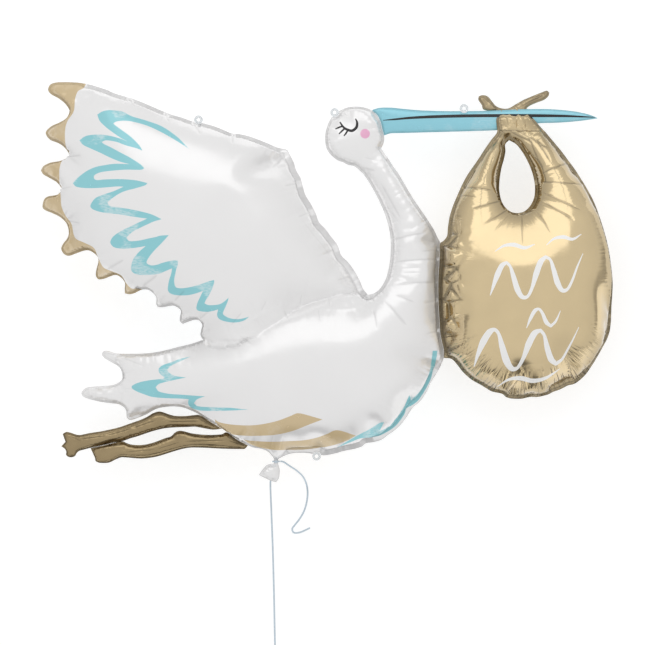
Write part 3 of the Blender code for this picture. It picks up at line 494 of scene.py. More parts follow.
def weld_widths(loop):
    """The width of the weld at each point of a rim, from the nearest run that gives one."""
    nearest = np.full(len(loop), np.inf)
    widths = np.full(len(loop), THIN_WELD)
    for width, run in WELD_RUNS:
        gaps = distance_to(loop, [on_grid(run)], closed=False)
        widths[gaps < nearest] = width
        nearest = np.minimum(nearest, gaps)
    spread = 7  # rim points over which one width passes into the next
    window = np.ones(spread) / spread
    padded = np.concatenate([widths[-spread:], widths, widths[:spread]])
    return np.convolve(padded, window, mode="same")[spread:-spread]


def seam_line(loop, outlines, widths):
    """The inner line of the weld, with points left out where two edges are too close."""
    along = np.roll(loop, -1, axis=0) - np.roll(loop, 1, axis=0)
    inward = np.column_stack([-along[:, 1], along[:, 0]])
    inward /= np.hypot(inward[:, 0], inward[:, 1])[:, None]
    line = loop + inward * widths[:, None]
    keep = inside(line, outlines) & (distance_to(line, outlines) > 0.93 * widths)
    return line[keep]


def hex_grid(low, high, step):
    """The corners of even triangles over a stretch of the plan."""
    rows = np.arange(low[1], high[1], step * math.sqrt(0.75))
    columns = np.arange(low[0], high[0] + step, step)
    x, y = np.meshgrid(columns, rows)
    x = x + 0.5 * step * (np.arange(len(rows)) % 2)[:, None]
    return np.column_stack([x.ravel(), y.ravel()])


def graded_points(loops, lines, steps):
    """Grid points inside the loops, close together near the loops and sparse further in.

    steps holds pairs of a spacing and how far in from the loops it is used.
    """
    low, high = loops[0].min(axis=0), loops[0].max(axis=0)
    kept = []
    done = 0
    for step, furthest in steps:
        nearest = 0.6 * step if done == 0 else done + 0.4 * step
        done = furthest
        grid = hex_grid(low, high, step)
        grid = grid[inside(grid, loops)]
        gap = distance_to(grid, loops)
        if lines:
            gap = np.minimum(gap, distance_to(grid, lines, closed=False))
        kept.append(grid[(gap > nearest) & (gap < furthest)])
    return np.vstack(kept)


def triangulate(loops, lines, points):
    """Triangles that keep the loops and lines as edges, and which loop point made each vertex."""
    edges = []
    first = 0
    for group, closed in ((loops, True), (lines, False)):
        for line in group:
            count = len(line)
            last = count if closed else count - 1
            edges.extend((first + i, first + (i + 1) % count) for i in range(last))
            first += count
    given = np.vstack([*loops, *lines, points])
    found = delaunay_2d_cdt([tuple(point) for point in given], edges, [], 1, 1e-7)
    vertices = np.array([tuple(point) for point in found[0]])
    triangles = np.array([face for face in found[2] if len(face) == 3])
    origin = np.array([min(sources) if sources else -1 for sources in found[3]])
    return vertices, triangles, origin


class Film:
    """Finite elements on a plan of triangles, for the slack of an inflated bag."""

    def __init__(self, points, triangles):
        corners = points[triangles]
        sides = np.stack(
            [
                corners[:, 2] - corners[:, 1],
                corners[:, 0] - corners[:, 2],
                corners[:, 1] - corners[:, 0],
            ],
            axis=1,
        )
        cross = sides[:, 0, 0] * sides[:, 1, 1] - sides[:, 0, 1] * sides[:, 1, 0]
        self.area = np.maximum(0.5 * np.abs(cross), 1e-12)
        local = np.einsum("tik,tjk->tij", sides, sides) / (4 * self.area[:, None, None])
        self.rows = np.repeat(triangles, 3, axis=1).ravel()
        self.columns = np.tile(triangles, (1, 3)).ravel()
        self.values = local.ravel()
        self.count = len(points)
        self.triangles = triangles
        self.load = np.bincount(triangles.ravel(), np.repeat(self.area / 3, 3), self.count)
        slopes = np.stack([-sides[:, :, 1], sides[:, :, 0]], axis=2)
        self.slopes = slopes * (np.sign(cross) / (2 * self.area))[:, None, None]

    def times(self, values):
        return np.bincount(self.rows, self.values * values[self.columns], self.count)

    def solve(self, held):
        """The solution of Poisson's equation for an even load, held where held is a number."""
        free = np.isnan(held)
        found = np.where(free, 0.0, held)
        error = np.where(free, self.load - self.times(found), 0)
        on_diagonal = self.rows == self.columns
        diagonal = np.bincount(self.rows[on_diagonal], self.values[on_diagonal], self.count)
        inverse = np.where(free, 1 / np.maximum(diagonal, 1e-12), 0)
        step = inverse * error
        size = first = float(error @ step)
        while size > 1e-14 * first:
            change = np.where(free, self.times(step), 0)
            share = size / float(step @ change)
            found += share * step
            error -= share * change
            smaller = float(error @ (inverse * error))
            step = inverse * error + smaller / size * step
            size = smaller
        return found

    def gradient(self, values):
        slope = np.einsum("ti,tik->tk", values[self.triangles], self.slopes)
        corners = self.triangles.ravel()
        weight = np.bincount(corners, np.repeat(self.area, 3), self.count)
        out = [
            np.bincount(corners, np.repeat(slope[:, axis] * self.area, 3), self.count) / weight
            for axis in range(2)
        ]
        return np.column_stack(out)


def fill_with_air(flat, drawn, triangles, pinned, spec):
    """Cloth run that draws the pinned edge of a flat film to its place while it fills.

    flat and drawn are points before and after. spec holds the air pressure, the frames of the run
    and how stiff the film is when it is pushed together. The result is its shape at the end.
    """
    frames = spec["frames"]
    drawn_by = 12
    scene = bpy.context.scene
    mesh = bpy.data.meshes.new("film")
    mesh.from_pydata(flat.tolist(), [], triangles.tolist())
    film = bpy.data.objects.new("film", mesh)
    scene.collection.objects.link(film)
    film.shape_key_add(name="Basis")
    key = film.shape_key_add(name="drawn")
    key.data.foreach_set("co", drawn.astype(np.float32).ravel())
    key.value = 0
    key.keyframe_insert("value", frame=1)
    key.value = 1
    key.keyframe_insert("value", frame=drawn_by)
    group = film.vertex_groups.new(name="pins")
    group.add([int(index) for index in np.flatnonzero(pinned)], 1.0, "REPLACE")
    cloth = film.modifiers.new("cloth", "CLOTH")
    settings = cloth.settings
    settings.quality = 4
    settings.mass = 0.01
    settings.tension_stiffness = 80
    settings.compression_stiffness = spec["give"]
    settings.shear_stiffness = spec["give"]
    settings.bending_stiffness = 0.02
    settings.tension_damping = 5
    settings.compression_damping = 5
    settings.shear_damping = 5
    settings.bending_damping = 0.5
    settings.air_damping = 1
    settings.use_pressure = True
    settings.uniform_pressure_force = spec["pressure"]
    settings.effector_weights.gravity = 0
    settings.vertex_group_mass = "pins"
    settings.pin_stiffness = 50
    cloth.collision_settings.use_collision = False
    cloth.collision_settings.use_self_collision = False
    cloth.point_cache.frame_start = 1
    cloth.point_cache.frame_end = frames
    for frame_number in range(1, frames + 1):
        scene.frame_set(frame_number)
    graph = bpy.context.evaluated_depsgraph_get()
    filled = film.evaluated_get(graph).data
    places = np.zeros(3 * len(filled.vertices), np.float32)
    filled.vertices.foreach_get("co", places)
    bpy.data.objects.remove(film)
    bpy.data.meshes.remove(mesh)
    scene.frame_set(1)
    return places.reshape(-1, 3).astype(float)


def evened(places, triangles, held, rounds):
    """The filled film with its smallest wrinkles evened out, where it isn't held.

    Each round draws the points towards their neighbours, and then pushes them back a little
    further, so that the bag keeps its size.
    """
    draw, push = 0.5, -0.53
    starts = triangles.ravel()
    ends = np.roll(triangles, -1, axis=1).ravel()
    starts, ends = np.concatenate([starts, ends]), np.concatenate([ends, starts])
    shares = np.bincount(starts, minlength=len(places))
    for share in [draw, push] * rounds:
        middle = np.column_stack(
            [np.bincount(starts, places[ends, axis], len(places)) for axis in range(3)]
        ) / np.maximum(shares, 1)[:, None]
        places = np.where(held[:, None], places, places + share * (middle - places))
    return places


def corner_normals(places, triangles):
    """The direction that a sheet faces at each of its points."""
    corners = places[triangles]
    cross = np.cross(corners[:, 1] - corners[:, 0], corners[:, 2] - corners[:, 0])
    normals = np.zeros_like(places)
    for axis in range(3):
        for corner in range(3):
            normals[:, axis] += np.bincount(triangles[:, corner], cross[:, axis], len(places))
    size = np.linalg.norm(normals, axis=1)
    return normals / np.maximum(size, 1e-12)[:, None]


class BlownSheet:
    """A filled sheet, read from above as a smooth curved surface."""

    def __init__(self, places, triangles):
        self.places, self.triangles = places, triangles
        self.normals = corner_normals(places, triangles)
        self.finder = BVHTree.FromPolygons(places.tolist(), triangles.tolist())

    def heights(self, points):
        """The height of the sheet's highest point over each point of the plan."""
        down = Vector((0, 0, -1))
        hits = [self.finder.ray_cast(Vector((x, y, 1)), down) for x, y in points]
        missed = np.array([hit[2] is None for hit in hits])
        chosen = np.array([hit[2] or 0 for hit in hits])
        corners = self.triangles[chosen]
        a, b, c = (self.places[corners[:, index], :2] for index in range(3))
        whole = cross_of(b - a, c - a)
        whole = np.where(np.abs(whole) < 1e-12, 1e-12, whole)
        shares = np.column_stack(
            [cross_of(b - points, c - points), cross_of(c - points, a - points)]
        ) / whole[:, None]
        shares = np.clip(np.column_stack([shares, 1 - shares.sum(axis=1)]), 0, 1)
        shares /= shares.sum(axis=1)[:, None]
        found = curved_triangle(self.places[corners], self.normals[corners], shares)[:, 2]
        return np.where(missed, SEAM_HEIGHT, np.maximum(found, SEAM_HEIGHT))


def cross_of(a, b):
    return a[:, 0] * b[:, 1] - a[:, 1] * b[:, 0]


def curved_triangle(corners, normals, shares):
    """Points on cubic triangles that meet their corner normals."""
    out = sum(shares[:, i, None] ** 3 * corners[:, i] for i in range(3))
    edge_points = []
    for i in range(3):
        for j in range(3):
            if i == j:
                continue
            side = corners[:, j] - corners[:, i]
            lift = np.einsum("tk,tk->t", side, normals[:, i])[:, None] * normals[:, i]
            edge = (2 * corners[:, i] + corners[:, j] - lift) / 3
            edge_points.append(edge)
            out = out + 3 * (shares[:, i] ** 2 * shares[:, j])[:, None] * edge
    middle = sum(edge_points) / 6
    centre = middle + 0.5 * (middle - corners.mean(axis=1))
    return out + 6 * (shares[:, 0] * shares[:, 1] * shares[:, 2])[:, None] * centre


def brush_outline(stroke, step=0.002):
    """The outline of a brush line, given as points of the grid with half widths."""
    middle = smooth_loop(on_grid(stroke), step, corner=75, closed=False)
    given = on_grid(stroke)
    along = np.concatenate([[0], np.cumsum(np.hypot(*np.diff(middle, axis=0).T))])
    marks = [float(along[np.argmin(np.hypot(*(middle - point).T))]) for point in given]
    half = np.interp(along, marks, [width * UNIT for _, _, width in stroke])
    ahead = np.gradient(middle, axis=0)
    side = np.column_stack([-ahead[:, 1], ahead[:, 0]])
    side /= np.hypot(side[:, 0], side[:, 1])[:, None]
    return np.vstack([middle + side * half[:, None], (middle - side * half[:, None])[::-1]])


def waves(points, size, seed):
    """Smooth noise between about -1 and 1 at points of the plan."""
    return np.array(
        [noise.noise(Vector((x / size, y / size, seed))) for x, y in points]
    )


def puckers(feet, off_seam, rows):
    """Small folds that run in from the seam, from rows of their height, spacing and reach."""
    sharpness, unevenness = 2.2, 0.7
    out = np.zeros(len(feet))
    for index, (height, spacing, reach) in enumerate(rows):
        near = off_seam < 5 * reach
        valley = (1 - np.abs(waves(feet[near], spacing, 7.3 + index)) * sharpness) ** 3
        length = reach * (1 + unevenness * waves(feet[near], 1.6 * spacing, 2.9 + index))
        share = off_seam[near] / length
        out[near] -= height * np.clip(valley, 0, 1) * share * np.exp(1 - share)
    return out


def dents(points, rows):
    """Creases pressed into the film, each from its two ends on the grid, depth and width."""
    out = np.zeros(len(points))
    for x0, y0, x1, y1, depth, width in rows:
        start, end = on_grid([(x0, y0), (x1, y1)])
        side = end - start
        share = (points - start) @ side / float(side @ side)
        gap = points - start - np.clip(share, 0, 1)[:, None] * side
        across = np.hypot(gap[:, 0], gap[:, 1]) / (DENT_WIDTH * width)
        taper = np.clip(1.2 - np.abs(2 * share - 1) ** 3, 0, 1)
        out -= DENT_DEPTH * depth * taper * np.exp(-across)
    return out


def crease_lines(rows):
    """The line of each crease and one line on each side of it, so that the mesh bends there."""
    lines = []
    for x0, y0, x1, y1, _, width in rows:
        start, end = on_grid([(x0, y0), (x1, y1)])
        along = end - start
        length = float(np.hypot(*along))
        aside = np.array([-along[1], along[0]]) / length * DENT_SHOULDER * width
        shares = np.linspace(0, 1, max(3, round(length / 0.004)) + 1)[:, None]
        middle = start + shares * along
        lines.extend([middle, middle[1:-1] + aside, middle[1:-1] - aside])
    return lines


def foil_bag(name, spec):
    """Builds a foil bag over its CAD node's rims, with its prints, and returns the new piece.

    spec holds the weld's width, the steps of the mesh, the share of a circle that the bag puffs
    to, the pressure and how the film gives, where the sheet is held and how high, how it is
    lifted, its folds, puckers, dents and crumples, its foil, and its prints by their materials.
    """
    sizes = bpy.context.scene.stork_sizes
    fine, coarse = sizes.fine_step, sizes.coarse_step
    steps = spec.get("steps", [(0.65 * fine, 0.02), (fine, sizes.fine_reach), (coarse, 9)])
    rims = rim_loops(name, spec.get("tallest", 0.004))[: spec.get("rims", 2)]
    outlines = [smooth_loop(rim, steps[0][0]) for rim in rims]
    weld = spec["weld"]
    widths = [weld(loop) if callable(weld) else np.full(len(loop), weld) for loop in outlines]
    seams = [seam_line(loop, outlines, width) for loop, width in zip(outlines, widths)]
    folds = spec.get("folds", [])

    grid = graded_points(seams, folds, spec["film_steps"])
    plan, triangles, origin = triangulate(seams, folds, grid)
    triangles = triangles[inside(plan[triangles].mean(axis=1), seams)]
    film = Film(plan, triangles)
    held = np.full(len(plan), np.nan)
    seam_count = sum(len(seam) for seam in seams)
    held[(origin >= 0) & (origin < seam_count)] = 0
    if "hold" in spec:
        spec["hold"](plan, origin - seam_count, held)
    slack = film.solve(held)
    height = spec["puff"] * np.sqrt(2 * np.maximum(slack, 0))
    places = np.column_stack([plan, SEAM_HEIGHT + height])
    if "pressure" in spec:
        flat_plan = plan - spec["fullness"] * sizes.fullness * film.gradient(slack)
        flat = np.column_stack([flat_plan, np.full(len(plan), SEAM_HEIGHT)])
        pinned = ~np.isnan(held)
        filled = fill_with_air(flat, places, triangles, pinned, spec)
        filled[pinned] = places[pinned]
        places = evened(filled, triangles, pinned, spec["evening"])
    a, b, c = (plan[triangles[:, index]] for index in range(3))
    triangles = np.where((cross_of(b - a, c - a) < 0)[:, None], triangles[:, ::-1], triangles)
    return skin(name, spec, outlines, seams, BlownSheet(places, triangles), steps)


def skin_plan(outlines, seams, shapes, lines, steps):
    """The plan of a bag's skin, with an edge along each seam, print and line."""
    grid = graded_points(seams, lines, steps)
    if shapes:
        grid = grid[distance_to(grid, shapes) > 0.4 * steps[0][0]]
    plan, triangles, _ = triangulate([*outlines, *seams, *shapes], lines, grid)
    triangles = triangles[inside(plan[triangles].mean(axis=1), outlines)]
    used = np.unique(triangles)
    renumber = np.full(len(plan), -1)
    renumber[used] = np.arange(len(used))
    return plan[used], renumber[triangles]


def both_sheets(triangles, count):
    """The faces of an upper sheet, of a lower one turned over, and of the rim between them."""
    faces = triangles.tolist() + (triangles[:, ::-1] + count).tolist()
    edges = {}
    for a, b, c in triangles.tolist():
        for start, end in ((a, b), (b, c), (c, a)):
            edges[(start, end)] = 1
    for start, end in edges:
        if (end, start) not in edges:
            faces.append([end, start, start + count, end + count])
    return faces


def skin(name, spec, outlines, seams, sheet, steps):
    """The finished mesh of a foil bag: both sheets, the flat weld around them, and the prints."""
    sizes = bpy.context.scene.stork_sizes
    prints = spec.get("prints", [])
    folds = spec.get("folds", [])
    creases = spec.get("dents", [])
    shapes = [shape for _, shape in prints]
    plan, triangles = skin_plan(outlines, seams, shapes, [*folds, *crease_lines(creases)], steps)

    within = inside(plan, seams) & (distance_to(plan, seams) > 1e-5)
    weld = ~within
    top = np.column_stack([plan, np.full(len(plan), SEAM_HEIGHT)])
    top[within, 2] = sheet.heights(plan[within])
    feet, off_seam = nearest_places(plan, seams, folds)
    relief = puckers(feet[within], off_seam[within], spec["pucker"])
    if "pucker_share" in spec:
        relief *= spec["pucker_share"](plan[within])
    dented = dents(plan[within], creases)
    relief += dented
    # Painted shade for the creases and crumple grooves, stored on the mesh for the materials to
    # darken them
    painted_fold_shade = np.zeros(len(plan))
    painted_fold_shade[within] = np.clip(-dented / WHOLE_DENT, 0, 1)
    if "crumple" in spec:
        crumpled = spec["crumple"](plan[within])
        relief += crumpled
        painted_crumple_shade = np.clip(-crumpled / WHOLE_CRUMPLE - 0.5, 0, 1)
        painted_fold_shade[within] = np.maximum(painted_fold_shade[within], painted_crumple_shade)
    top[within, 2] = np.maximum(top[within, 2] + relief, SEAM_HEIGHT)
    off_bag = np.clip(off_seam[weld] / RUFFLE_REACH, 0, 1)
    top[weld, 2] += sizes.ruffle * off_bag * waves(plan[weld], RUFFLE_SPACING, 3.1)
    bottom = top.copy()
    bottom[within, 2] = 2 * SEAM_HEIGHT - top[within, 2]
    if "lift" in spec:
        lift = spec["lift"](plan)
        top[:, 2] += lift
        bottom[:, 2] += lift
    top[:, 2] += SHEET_GAP
    bottom[:, 2] = np.maximum(bottom[:, 2] - SHEET_GAP, 0)

    mesh = bpy.data.meshes.new(name)
    faces = both_sheets(triangles, len(plan))
    mesh.from_pydata(np.vstack([top, bottom]).tolist(), [], faces)
    materials = list(dict.fromkeys([spec["foil"], *(material for material, _ in prints)]))
    for material in materials:
        mesh.materials.append(finish(material))
    finishes = np.zeros(len(faces), np.int32)
    middles = plan[triangles].mean(axis=1)
    for material, shape in prints:
        printed = inside(middles, [shape])
        finishes[: 2 * len(triangles)][np.tile(printed, 2)] = materials.index(material)
    mesh.polygons.foreach_set("material_index", finishes)
    # The painted shade of the creases and crumple grooves, on both sheets
    mesh.attributes.new("painted_fold_shade", "FLOAT", "POINT").data.foreach_set("value", np.tile(painted_fold_shade, 2))
    foot = mesh.attributes.new("foot", "FLOAT_VECTOR", "POINT")
    feet, off = nearest_places(plan, seams)
    off = np.where(within, off, -off)
    foot.data.foreach_set("vector", np.tile(np.column_stack([feet, off]), (2, 1)).ravel())
    mesh.update()
    mesh.shade_smooth()
    piece = bpy.data.objects.new(name + "_film", mesh)
    bpy.context.scene.collection.objects.link(piece)
    return piece


def dress(piece, node):
    """Rides the piece on the balloon, and hides the CAD node that it stands for."""
    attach(piece, "root")
    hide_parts(node)


class Nodes:
    """The shader nodes of a material or of the sky."""

    def __init__(self, tree):
        self.tree = tree

    def add(self, kind):
        return self.tree.nodes.new(kind)

    def link(self, start, end):
        self.tree.links.new(start, end)

    def part(self, vector, axis):
        split = self.add("ShaderNodeSeparateXYZ")
        self.link(vector, split.inputs["Vector"])
        return split.outputs[axis]

    def times(self, first, second):
        product = self.add("ShaderNodeMath")
        product.operation = "MULTIPLY"
        self.link(first, product.inputs[0])
        self.link(second, product.inputs[1])
        return product.outputs["Value"]

    def between(self, value, from_low, from_high, to_low, to_high, course="LINEAR"):
        node = self.add("ShaderNodeMapRange")
        node.interpolation_type = course
        node.inputs["From Min"].default_value = from_low
        node.inputs["From Max"].default_value = from_high
        node.inputs["To Min"].default_value = to_low
        node.inputs["To Max"].default_value = to_high
        self.link(value, node.inputs["Value"])
        return node.outputs["Result"]


class Finish(Nodes):
    """A material made of shader nodes around one principled shader."""

    def __init__(self, name, colour, metallic, roughness):
        self.material = bpy.data.materials.new(name)
        self.material.use_nodes = True
        super().__init__(self.material.node_tree)
        self.shader = self.tree.nodes["Principled BSDF"]
        self.shader.inputs["Base Color"].default_value = (*colour, 1)
        self.shader.inputs["Metallic"].default_value = metallic
        self.shader.inputs["Roughness"].default_value = roughness
        self.place = self.add("ShaderNodeTexCoord").outputs["Object"]

    def noise(self, scale, detail, stretch=None, turn=0.0, place=None):
        place = place or self.place
        if stretch:
            mapping = self.add("ShaderNodeMapping")
            mapping.inputs["Scale"].default_value = stretch
            mapping.inputs["Rotation"].default_value = (0, 0, math.radians(turn))
            self.link(place, mapping.inputs["Vector"])
            place = mapping.outputs["Vector"]
        node = self.add("ShaderNodeTexNoise")
        node.inputs["Scale"].default_value = scale
        node.inputs["Detail"].default_value = detail
        self.link(place, node.inputs["Vector"])
        return node.outputs["Fac"]

    def stored(self, name, output):
        """A value that the mesh stores under a name."""
        node = self.add("ShaderNodeAttribute")
        node.attribute_name = name
        return node.outputs[output]

    def ribs(self, spacing, reach, height, below=None):
        """Fine ribs that run in from the seam and fade with distance from it.

        below gives two places along y, where they start and where they are whole.
        """
        foot = self.stored("foot", "Vector")
        ribbed = self.noise(1, 1, stretch=(1 / spacing, 1 / spacing, 6), place=foot)
        fade = self.between(self.part(foot, "Z"), 0, reach, 1, 0)
        if below:
            fade = self.times(fade, self.between(self.part(self.place, "Y"), *below, 0.12, 1))
        self.bump(self.times(ribbed, fade), height)

    def weld(self, grain, shadow, tint=0.95, painted_seam_shade=1.0, crease=0.85):
        """Grains and tints the flat welded edge, and paints a shadow line where the bag starts.

        dusk paints shade on the film next to the weld, and crease paints shade in the creases and
        crumple grooves.
        Distances are in metres from the seam, and below zero on the weld.
        """
        off = self.part(self.stored("foot", "Vector"), "Z")
        on_weld = self.between(off, -0.0015, 0.0005, 1, 0)
        self.bump(self.times(self.noise(420, 2), on_weld), grain, 0.8)
        near = self.add("ShaderNodeMath")
        near.operation = "ABSOLUTE"
        self.link(off, near.inputs[0])
        # Painted shadow: a darker line along the seam, where the bag rises from the weld
        line = self.between(near.outputs["Value"], 0.0006, 0.0028, shadow, 1)
        film = self.between(off, -0.003, -0.0005, tint, 1)
        base = self.shader.inputs["Base Color"]
        mix = self.add("ShaderNodeVectorMath")
        mix.operation = "SCALE"
        self.link(base.links[0].from_socket, mix.inputs[0])
        # Painted shade on the film next to the weld, fading out 34 mm in from the seam
        seam_shade_factor = self.between(off, 0.0, 0.034, painted_seam_shade, 1)
        # Painted shade in the creases and crumple grooves
        painted_fold_factor = self.between(self.stored("painted_fold_shade", "Fac"), 0.3, 1, 1, crease)
        # The weld's tint times the painted shadow line and the painted shades
        shares = self.times(self.times(line, film), self.times(seam_shade_factor, painted_fold_factor))
        self.link(shares, mix.inputs["Scale"])
        self.link(mix.outputs["Vector"], base)

    def tint(self, value, stops):
        """Base colour from a ramp of (place, colour) over value."""
        ramp = self.add("ShaderNodeValToRGB")
        elements = ramp.color_ramp.elements
        while len(elements) < len(stops):
            elements.new(0.5)
        for element, (place, colour) in zip(elements, stops):
            element.position = place
            element.color = (*colour, 1)
        self.link(value, ramp.inputs["Fac"])
        self.link(ramp.outputs["Color"], self.shader.inputs["Base Color"])

    def rough(self, value, low, high):
        self.link(self.between(value, 0.3, 0.7, low, high), self.shader.inputs["Roughness"])

    def gloss(self, weight, roughness):
        """A clear gloss over the finish."""
        self.shader.inputs["Coat Weight"].default_value = weight
        self.shader.inputs["Coat Roughness"].default_value = roughness

    def bump(self, value, height, strength=1.0):
        node = self.add("ShaderNodeBump")
        node.inputs["Strength"].default_value = strength
        node.inputs["Distance"].default_value = height
        self.link(value, node.inputs["Height"])
        last = self.shader.inputs["Normal"]
        if last.links:
            self.link(last.links[0].from_socket, node.inputs["Normal"])
        self.link(node.outputs["Normal"], last)


def shade(colour, share):
    return tuple(min(1.0, value * share) for value in colour)


def finish(name):
    """The named material, made when it is first asked for."""
    made = bpy.data.materials.get(name)
    return made if made else FINISHES[name](bpy.context.scene.stork_colours)


def pearl_film(made, low, high):
    """The satin gloss, fine dents and ribs of the pearly film."""
    made.rough(made.noise(30, 3), low, high)
    made.gloss(0.8, 0.1)
    made.bump(made.noise(60, 4), 0.00035, 0.35)
    made.ribs(0.011, 0.03, 0.0022)


def satin_print(made, colour, pale, stretch=None, turn=0.0):
    """The pearly film with a print on it, streaked towards white by pale in places."""
    light = tuple(value + pale * (1 - value) for value in colour)
    streaks = made.noise(95, 3, stretch=stretch, turn=turn)
    places = made.between(made.noise(11, 1), 0.46, 0.6, 0, 1)
    made.tint(made.times(streaks, places), [(0.3, colour), (0.62, light)])
    pearl_film(made, 0.2, 0.28)
    # Painted shade: a shadow line at the seam and in the creases
    made.weld(0.0006, 0.8)
    return made.material


def white_foil(colours):
    made = Finish("White pearl foil", colours.white, 0.27, 0.2)
    made.tint(made.noise(9, 3), [(0.3, shade(colours.white, 0.985)), (0.7, colours.white)])
    pearl_film(made, 0.18, 0.26)
    # Painted shade: a shadow line at the seam and in the creases
    made.weld(0.0003, 0.88, 1.06, crease=0.86)
    return made.material


def gold_foil(colours):
    made = Finish("Gold foil", colours.gold, 1.0, 0.13)
    made.tint(made.noise(14, 3), [(0.3, shade(colours.gold, 0.95)), (0.7, colours.gold)])
    made.rough(made.noise(40, 3), 0.1, 0.17)
    made.gloss(1.0, 0.08)
    made.bump(made.noise(34, 4), 0.0005, 0.3)
    made.ribs(0.0066, 0.085, 0.012, below=(-0.09, -0.18))
    # Painted shade: a shadow line at the seam, darker film next to the weld and in the creases
    made.weld(0.0008, 0.6, painted_seam_shade=0.6, crease=0.5)
    return made.material


def feather_gold(colours):
    made = Finish("Feather gold print", colours.feather, 0.16, 0.26)
    return satin_print(made, colours.feather, 0.08)


def aqua_print(colours):
    made = Finish("Aqua brush print", colours.aqua, 0.14, 0.26)
    return satin_print(made, colours.aqua, 0.4, stretch=(1, 3, 1), turn=25)


def beak_foil(colours):
    made = Finish("Blue bill foil", colours.beak, 0.16, 0.24)
    return satin_print(made, colours.beak, 0.12, stretch=(1, 4, 1))


def bronze_foil(colours):
    made = Finish("Bronze foil", colours.bronze, 1.0, 0.2)
    made.tint(made.noise(18, 3), [(0.3, shade(colours.bronze, 0.85)), (0.7, colours.bronze)])
    made.rough(made.noise(60, 3), 0.15, 0.28)
    made.bump(made.noise(90, 4, stretch=(1, 5, 1), turn=-10), 0.0004, 0.5)
    made.ribs(0.012, 0.02, 0.002)
    # Painted shade: a shadow line at the seam, darker film next to the weld and in the creases
    made.weld(0.0006, 0.5, painted_seam_shade=0.85, crease=0.35)
    return made.material


def ink(colours):
    made = Finish("Printed ink", colours.black, 0.0, 0.35)
    made.rough(made.noise(90, 3), 0.3, 0.42)
    return made.material


def cheek_pink(colours):
    made = Finish("Cheek pink print", colours.pink, 0.12, 0.28)
    return satin_print(made, colours.pink, 0.05)


def brush_white(colours):
    made = Finish("White brush print", colours.brush, 0.0, 0.35)
    return satin_print(made, colours.brush, 0.3, stretch=(1, 3, 1), turn=30)


def clear_film(colours):
    made = Finish("Clear film", colours.tabs, 0.0, 0.12)
    made.shader.inputs["Transmission Weight"].default_value = 0.55
    made.rough(made.noise(90, 2), 0.08, 0.18)
    return made.material


def ribbon_satin(colours):
    made = Finish("Ribbon satin", colours.ribbon, 0.15, 0.3)
    made.tint(made.noise(120, 3), [(0.3, shade(colours.ribbon, 0.9)), (0.7, colours.ribbon)])
    made.bump(made.noise(900, 2), 0.00008, 0.4)
    return made.material


FINISHES = {
    "White pearl foil": white_foil,
    "Gold foil": gold_foil,
    "Feather gold print": feather_gold,
    "Aqua brush print": aqua_print,
    "Blue bill foil": beak_foil,
    "Bronze foil": bronze_foil,
    "Printed ink": ink,
    "Cheek pink print": cheek_pink,
    "White brush print": brush_white,
    "Clear film": clear_film,
    "Ribbon satin": ribbon_satin,
}


class STORK_OT_camera(bpy.types.Operator):
    """Looks straight down on the balloon"""

    bl_idname = "stork.camera"
    bl_label = "Camera"

    def execute(self, context):
        distance = 5.0
        data = bpy.data.cameras.new("Camera")
        data.sensor_width = 36
        data.lens = data.sensor_width * (distance - SEAM_HEIGHT) / (PICTURE_SQUARES * UNIT)
        data.clip_end = 60
        camera = bpy.data.objects.new("Camera", data)
        x, y = on_grid([PICTURE_MIDDLE])[0]
        camera.location = (x, y, distance)
        context.scene.collection.objects.link(camera)
        context.scene.camera = camera
        return {"FINISHED"}


def ribbon_strip(name, line, width, thickness, turn):
    """A thin, slightly crowned strip along a line, its width level and then turned at each point."""
    ahead = np.gradient(line, axis=0)
    ahead /= np.linalg.norm(ahead, axis=1)[:, None]
    side = np.cross(ahead, (0, 0, 1))
    weak = np.linalg.norm(side, axis=1) < 0.05
    side[weak] = (1, 0, 0)
    side /= np.linalg.norm(side, axis=1)[:, None]
    up = np.cross(side, ahead)
    angle = np.broadcast_to(turn, len(line))[:, None]
    across = np.cos(angle) * side + np.sin(angle) * up
    over = np.cos(angle) * up - np.sin(angle) * side
    ring = [(-0.5, -0.5), (0, -0.62), (0.5, -0.5), (0.5, 0.5), (0, 0.62), (-0.5, 0.5)]
    vertices = np.concatenate(
        [line + x * width * across + z * thickness * over for x, z in ring]
    )
    count, sides = len(line), len(ring)
    faces = []
    for index in range(count - 1):
        for k in range(sides):
            a, b = k * count + index, (k + 1) % sides * count + index
            faces.append([a, a + 1, b + 1, b])
    faces.append([k * count for k in range(sides)])
    faces.append([k * count + count - 1 for k in reversed(range(sides))])
    mesh = bpy.data.meshes.new(name)
    mesh.from_pydata(vertices.tolist(), [], faces)
    mesh.materials.append(finish("Ribbon satin"))
    piece = bpy.data.objects.new(name, mesh)
    bpy.context.scene.collection.objects.link(piece)
    return piece


def smooth_route(points, step):
    """A smooth line through points in space, read at even steps."""
    padded = np.vstack([2 * points[0] - points[1], points, 2 * points[-1] - points[-2]])
    line = []
    for index in range(1, len(padded) - 2):
        a, b, c, d = padded[index - 1 : index + 3]
        for t in np.linspace(0, 1, 12, endpoint=False):
            line.append(
                0.5 * (2 * b + (c - a) * t + (2 * a - 5 * b + 4 * c - d) * t**2
                       + (3 * b - a - 3 * c + d) * t**3)
            )
    line.append(points[-1])
    line = np.array(line)
    along = np.concatenate([[0], np.cumsum(np.linalg.norm(np.diff(line, axis=0), axis=1))])
    marks = np.linspace(0, along[-1], max(2, round(along[-1] / step)) + 1)
    return np.column_stack([np.interp(marks, along, line[:, axis]) for axis in range(3)]), along[-1]


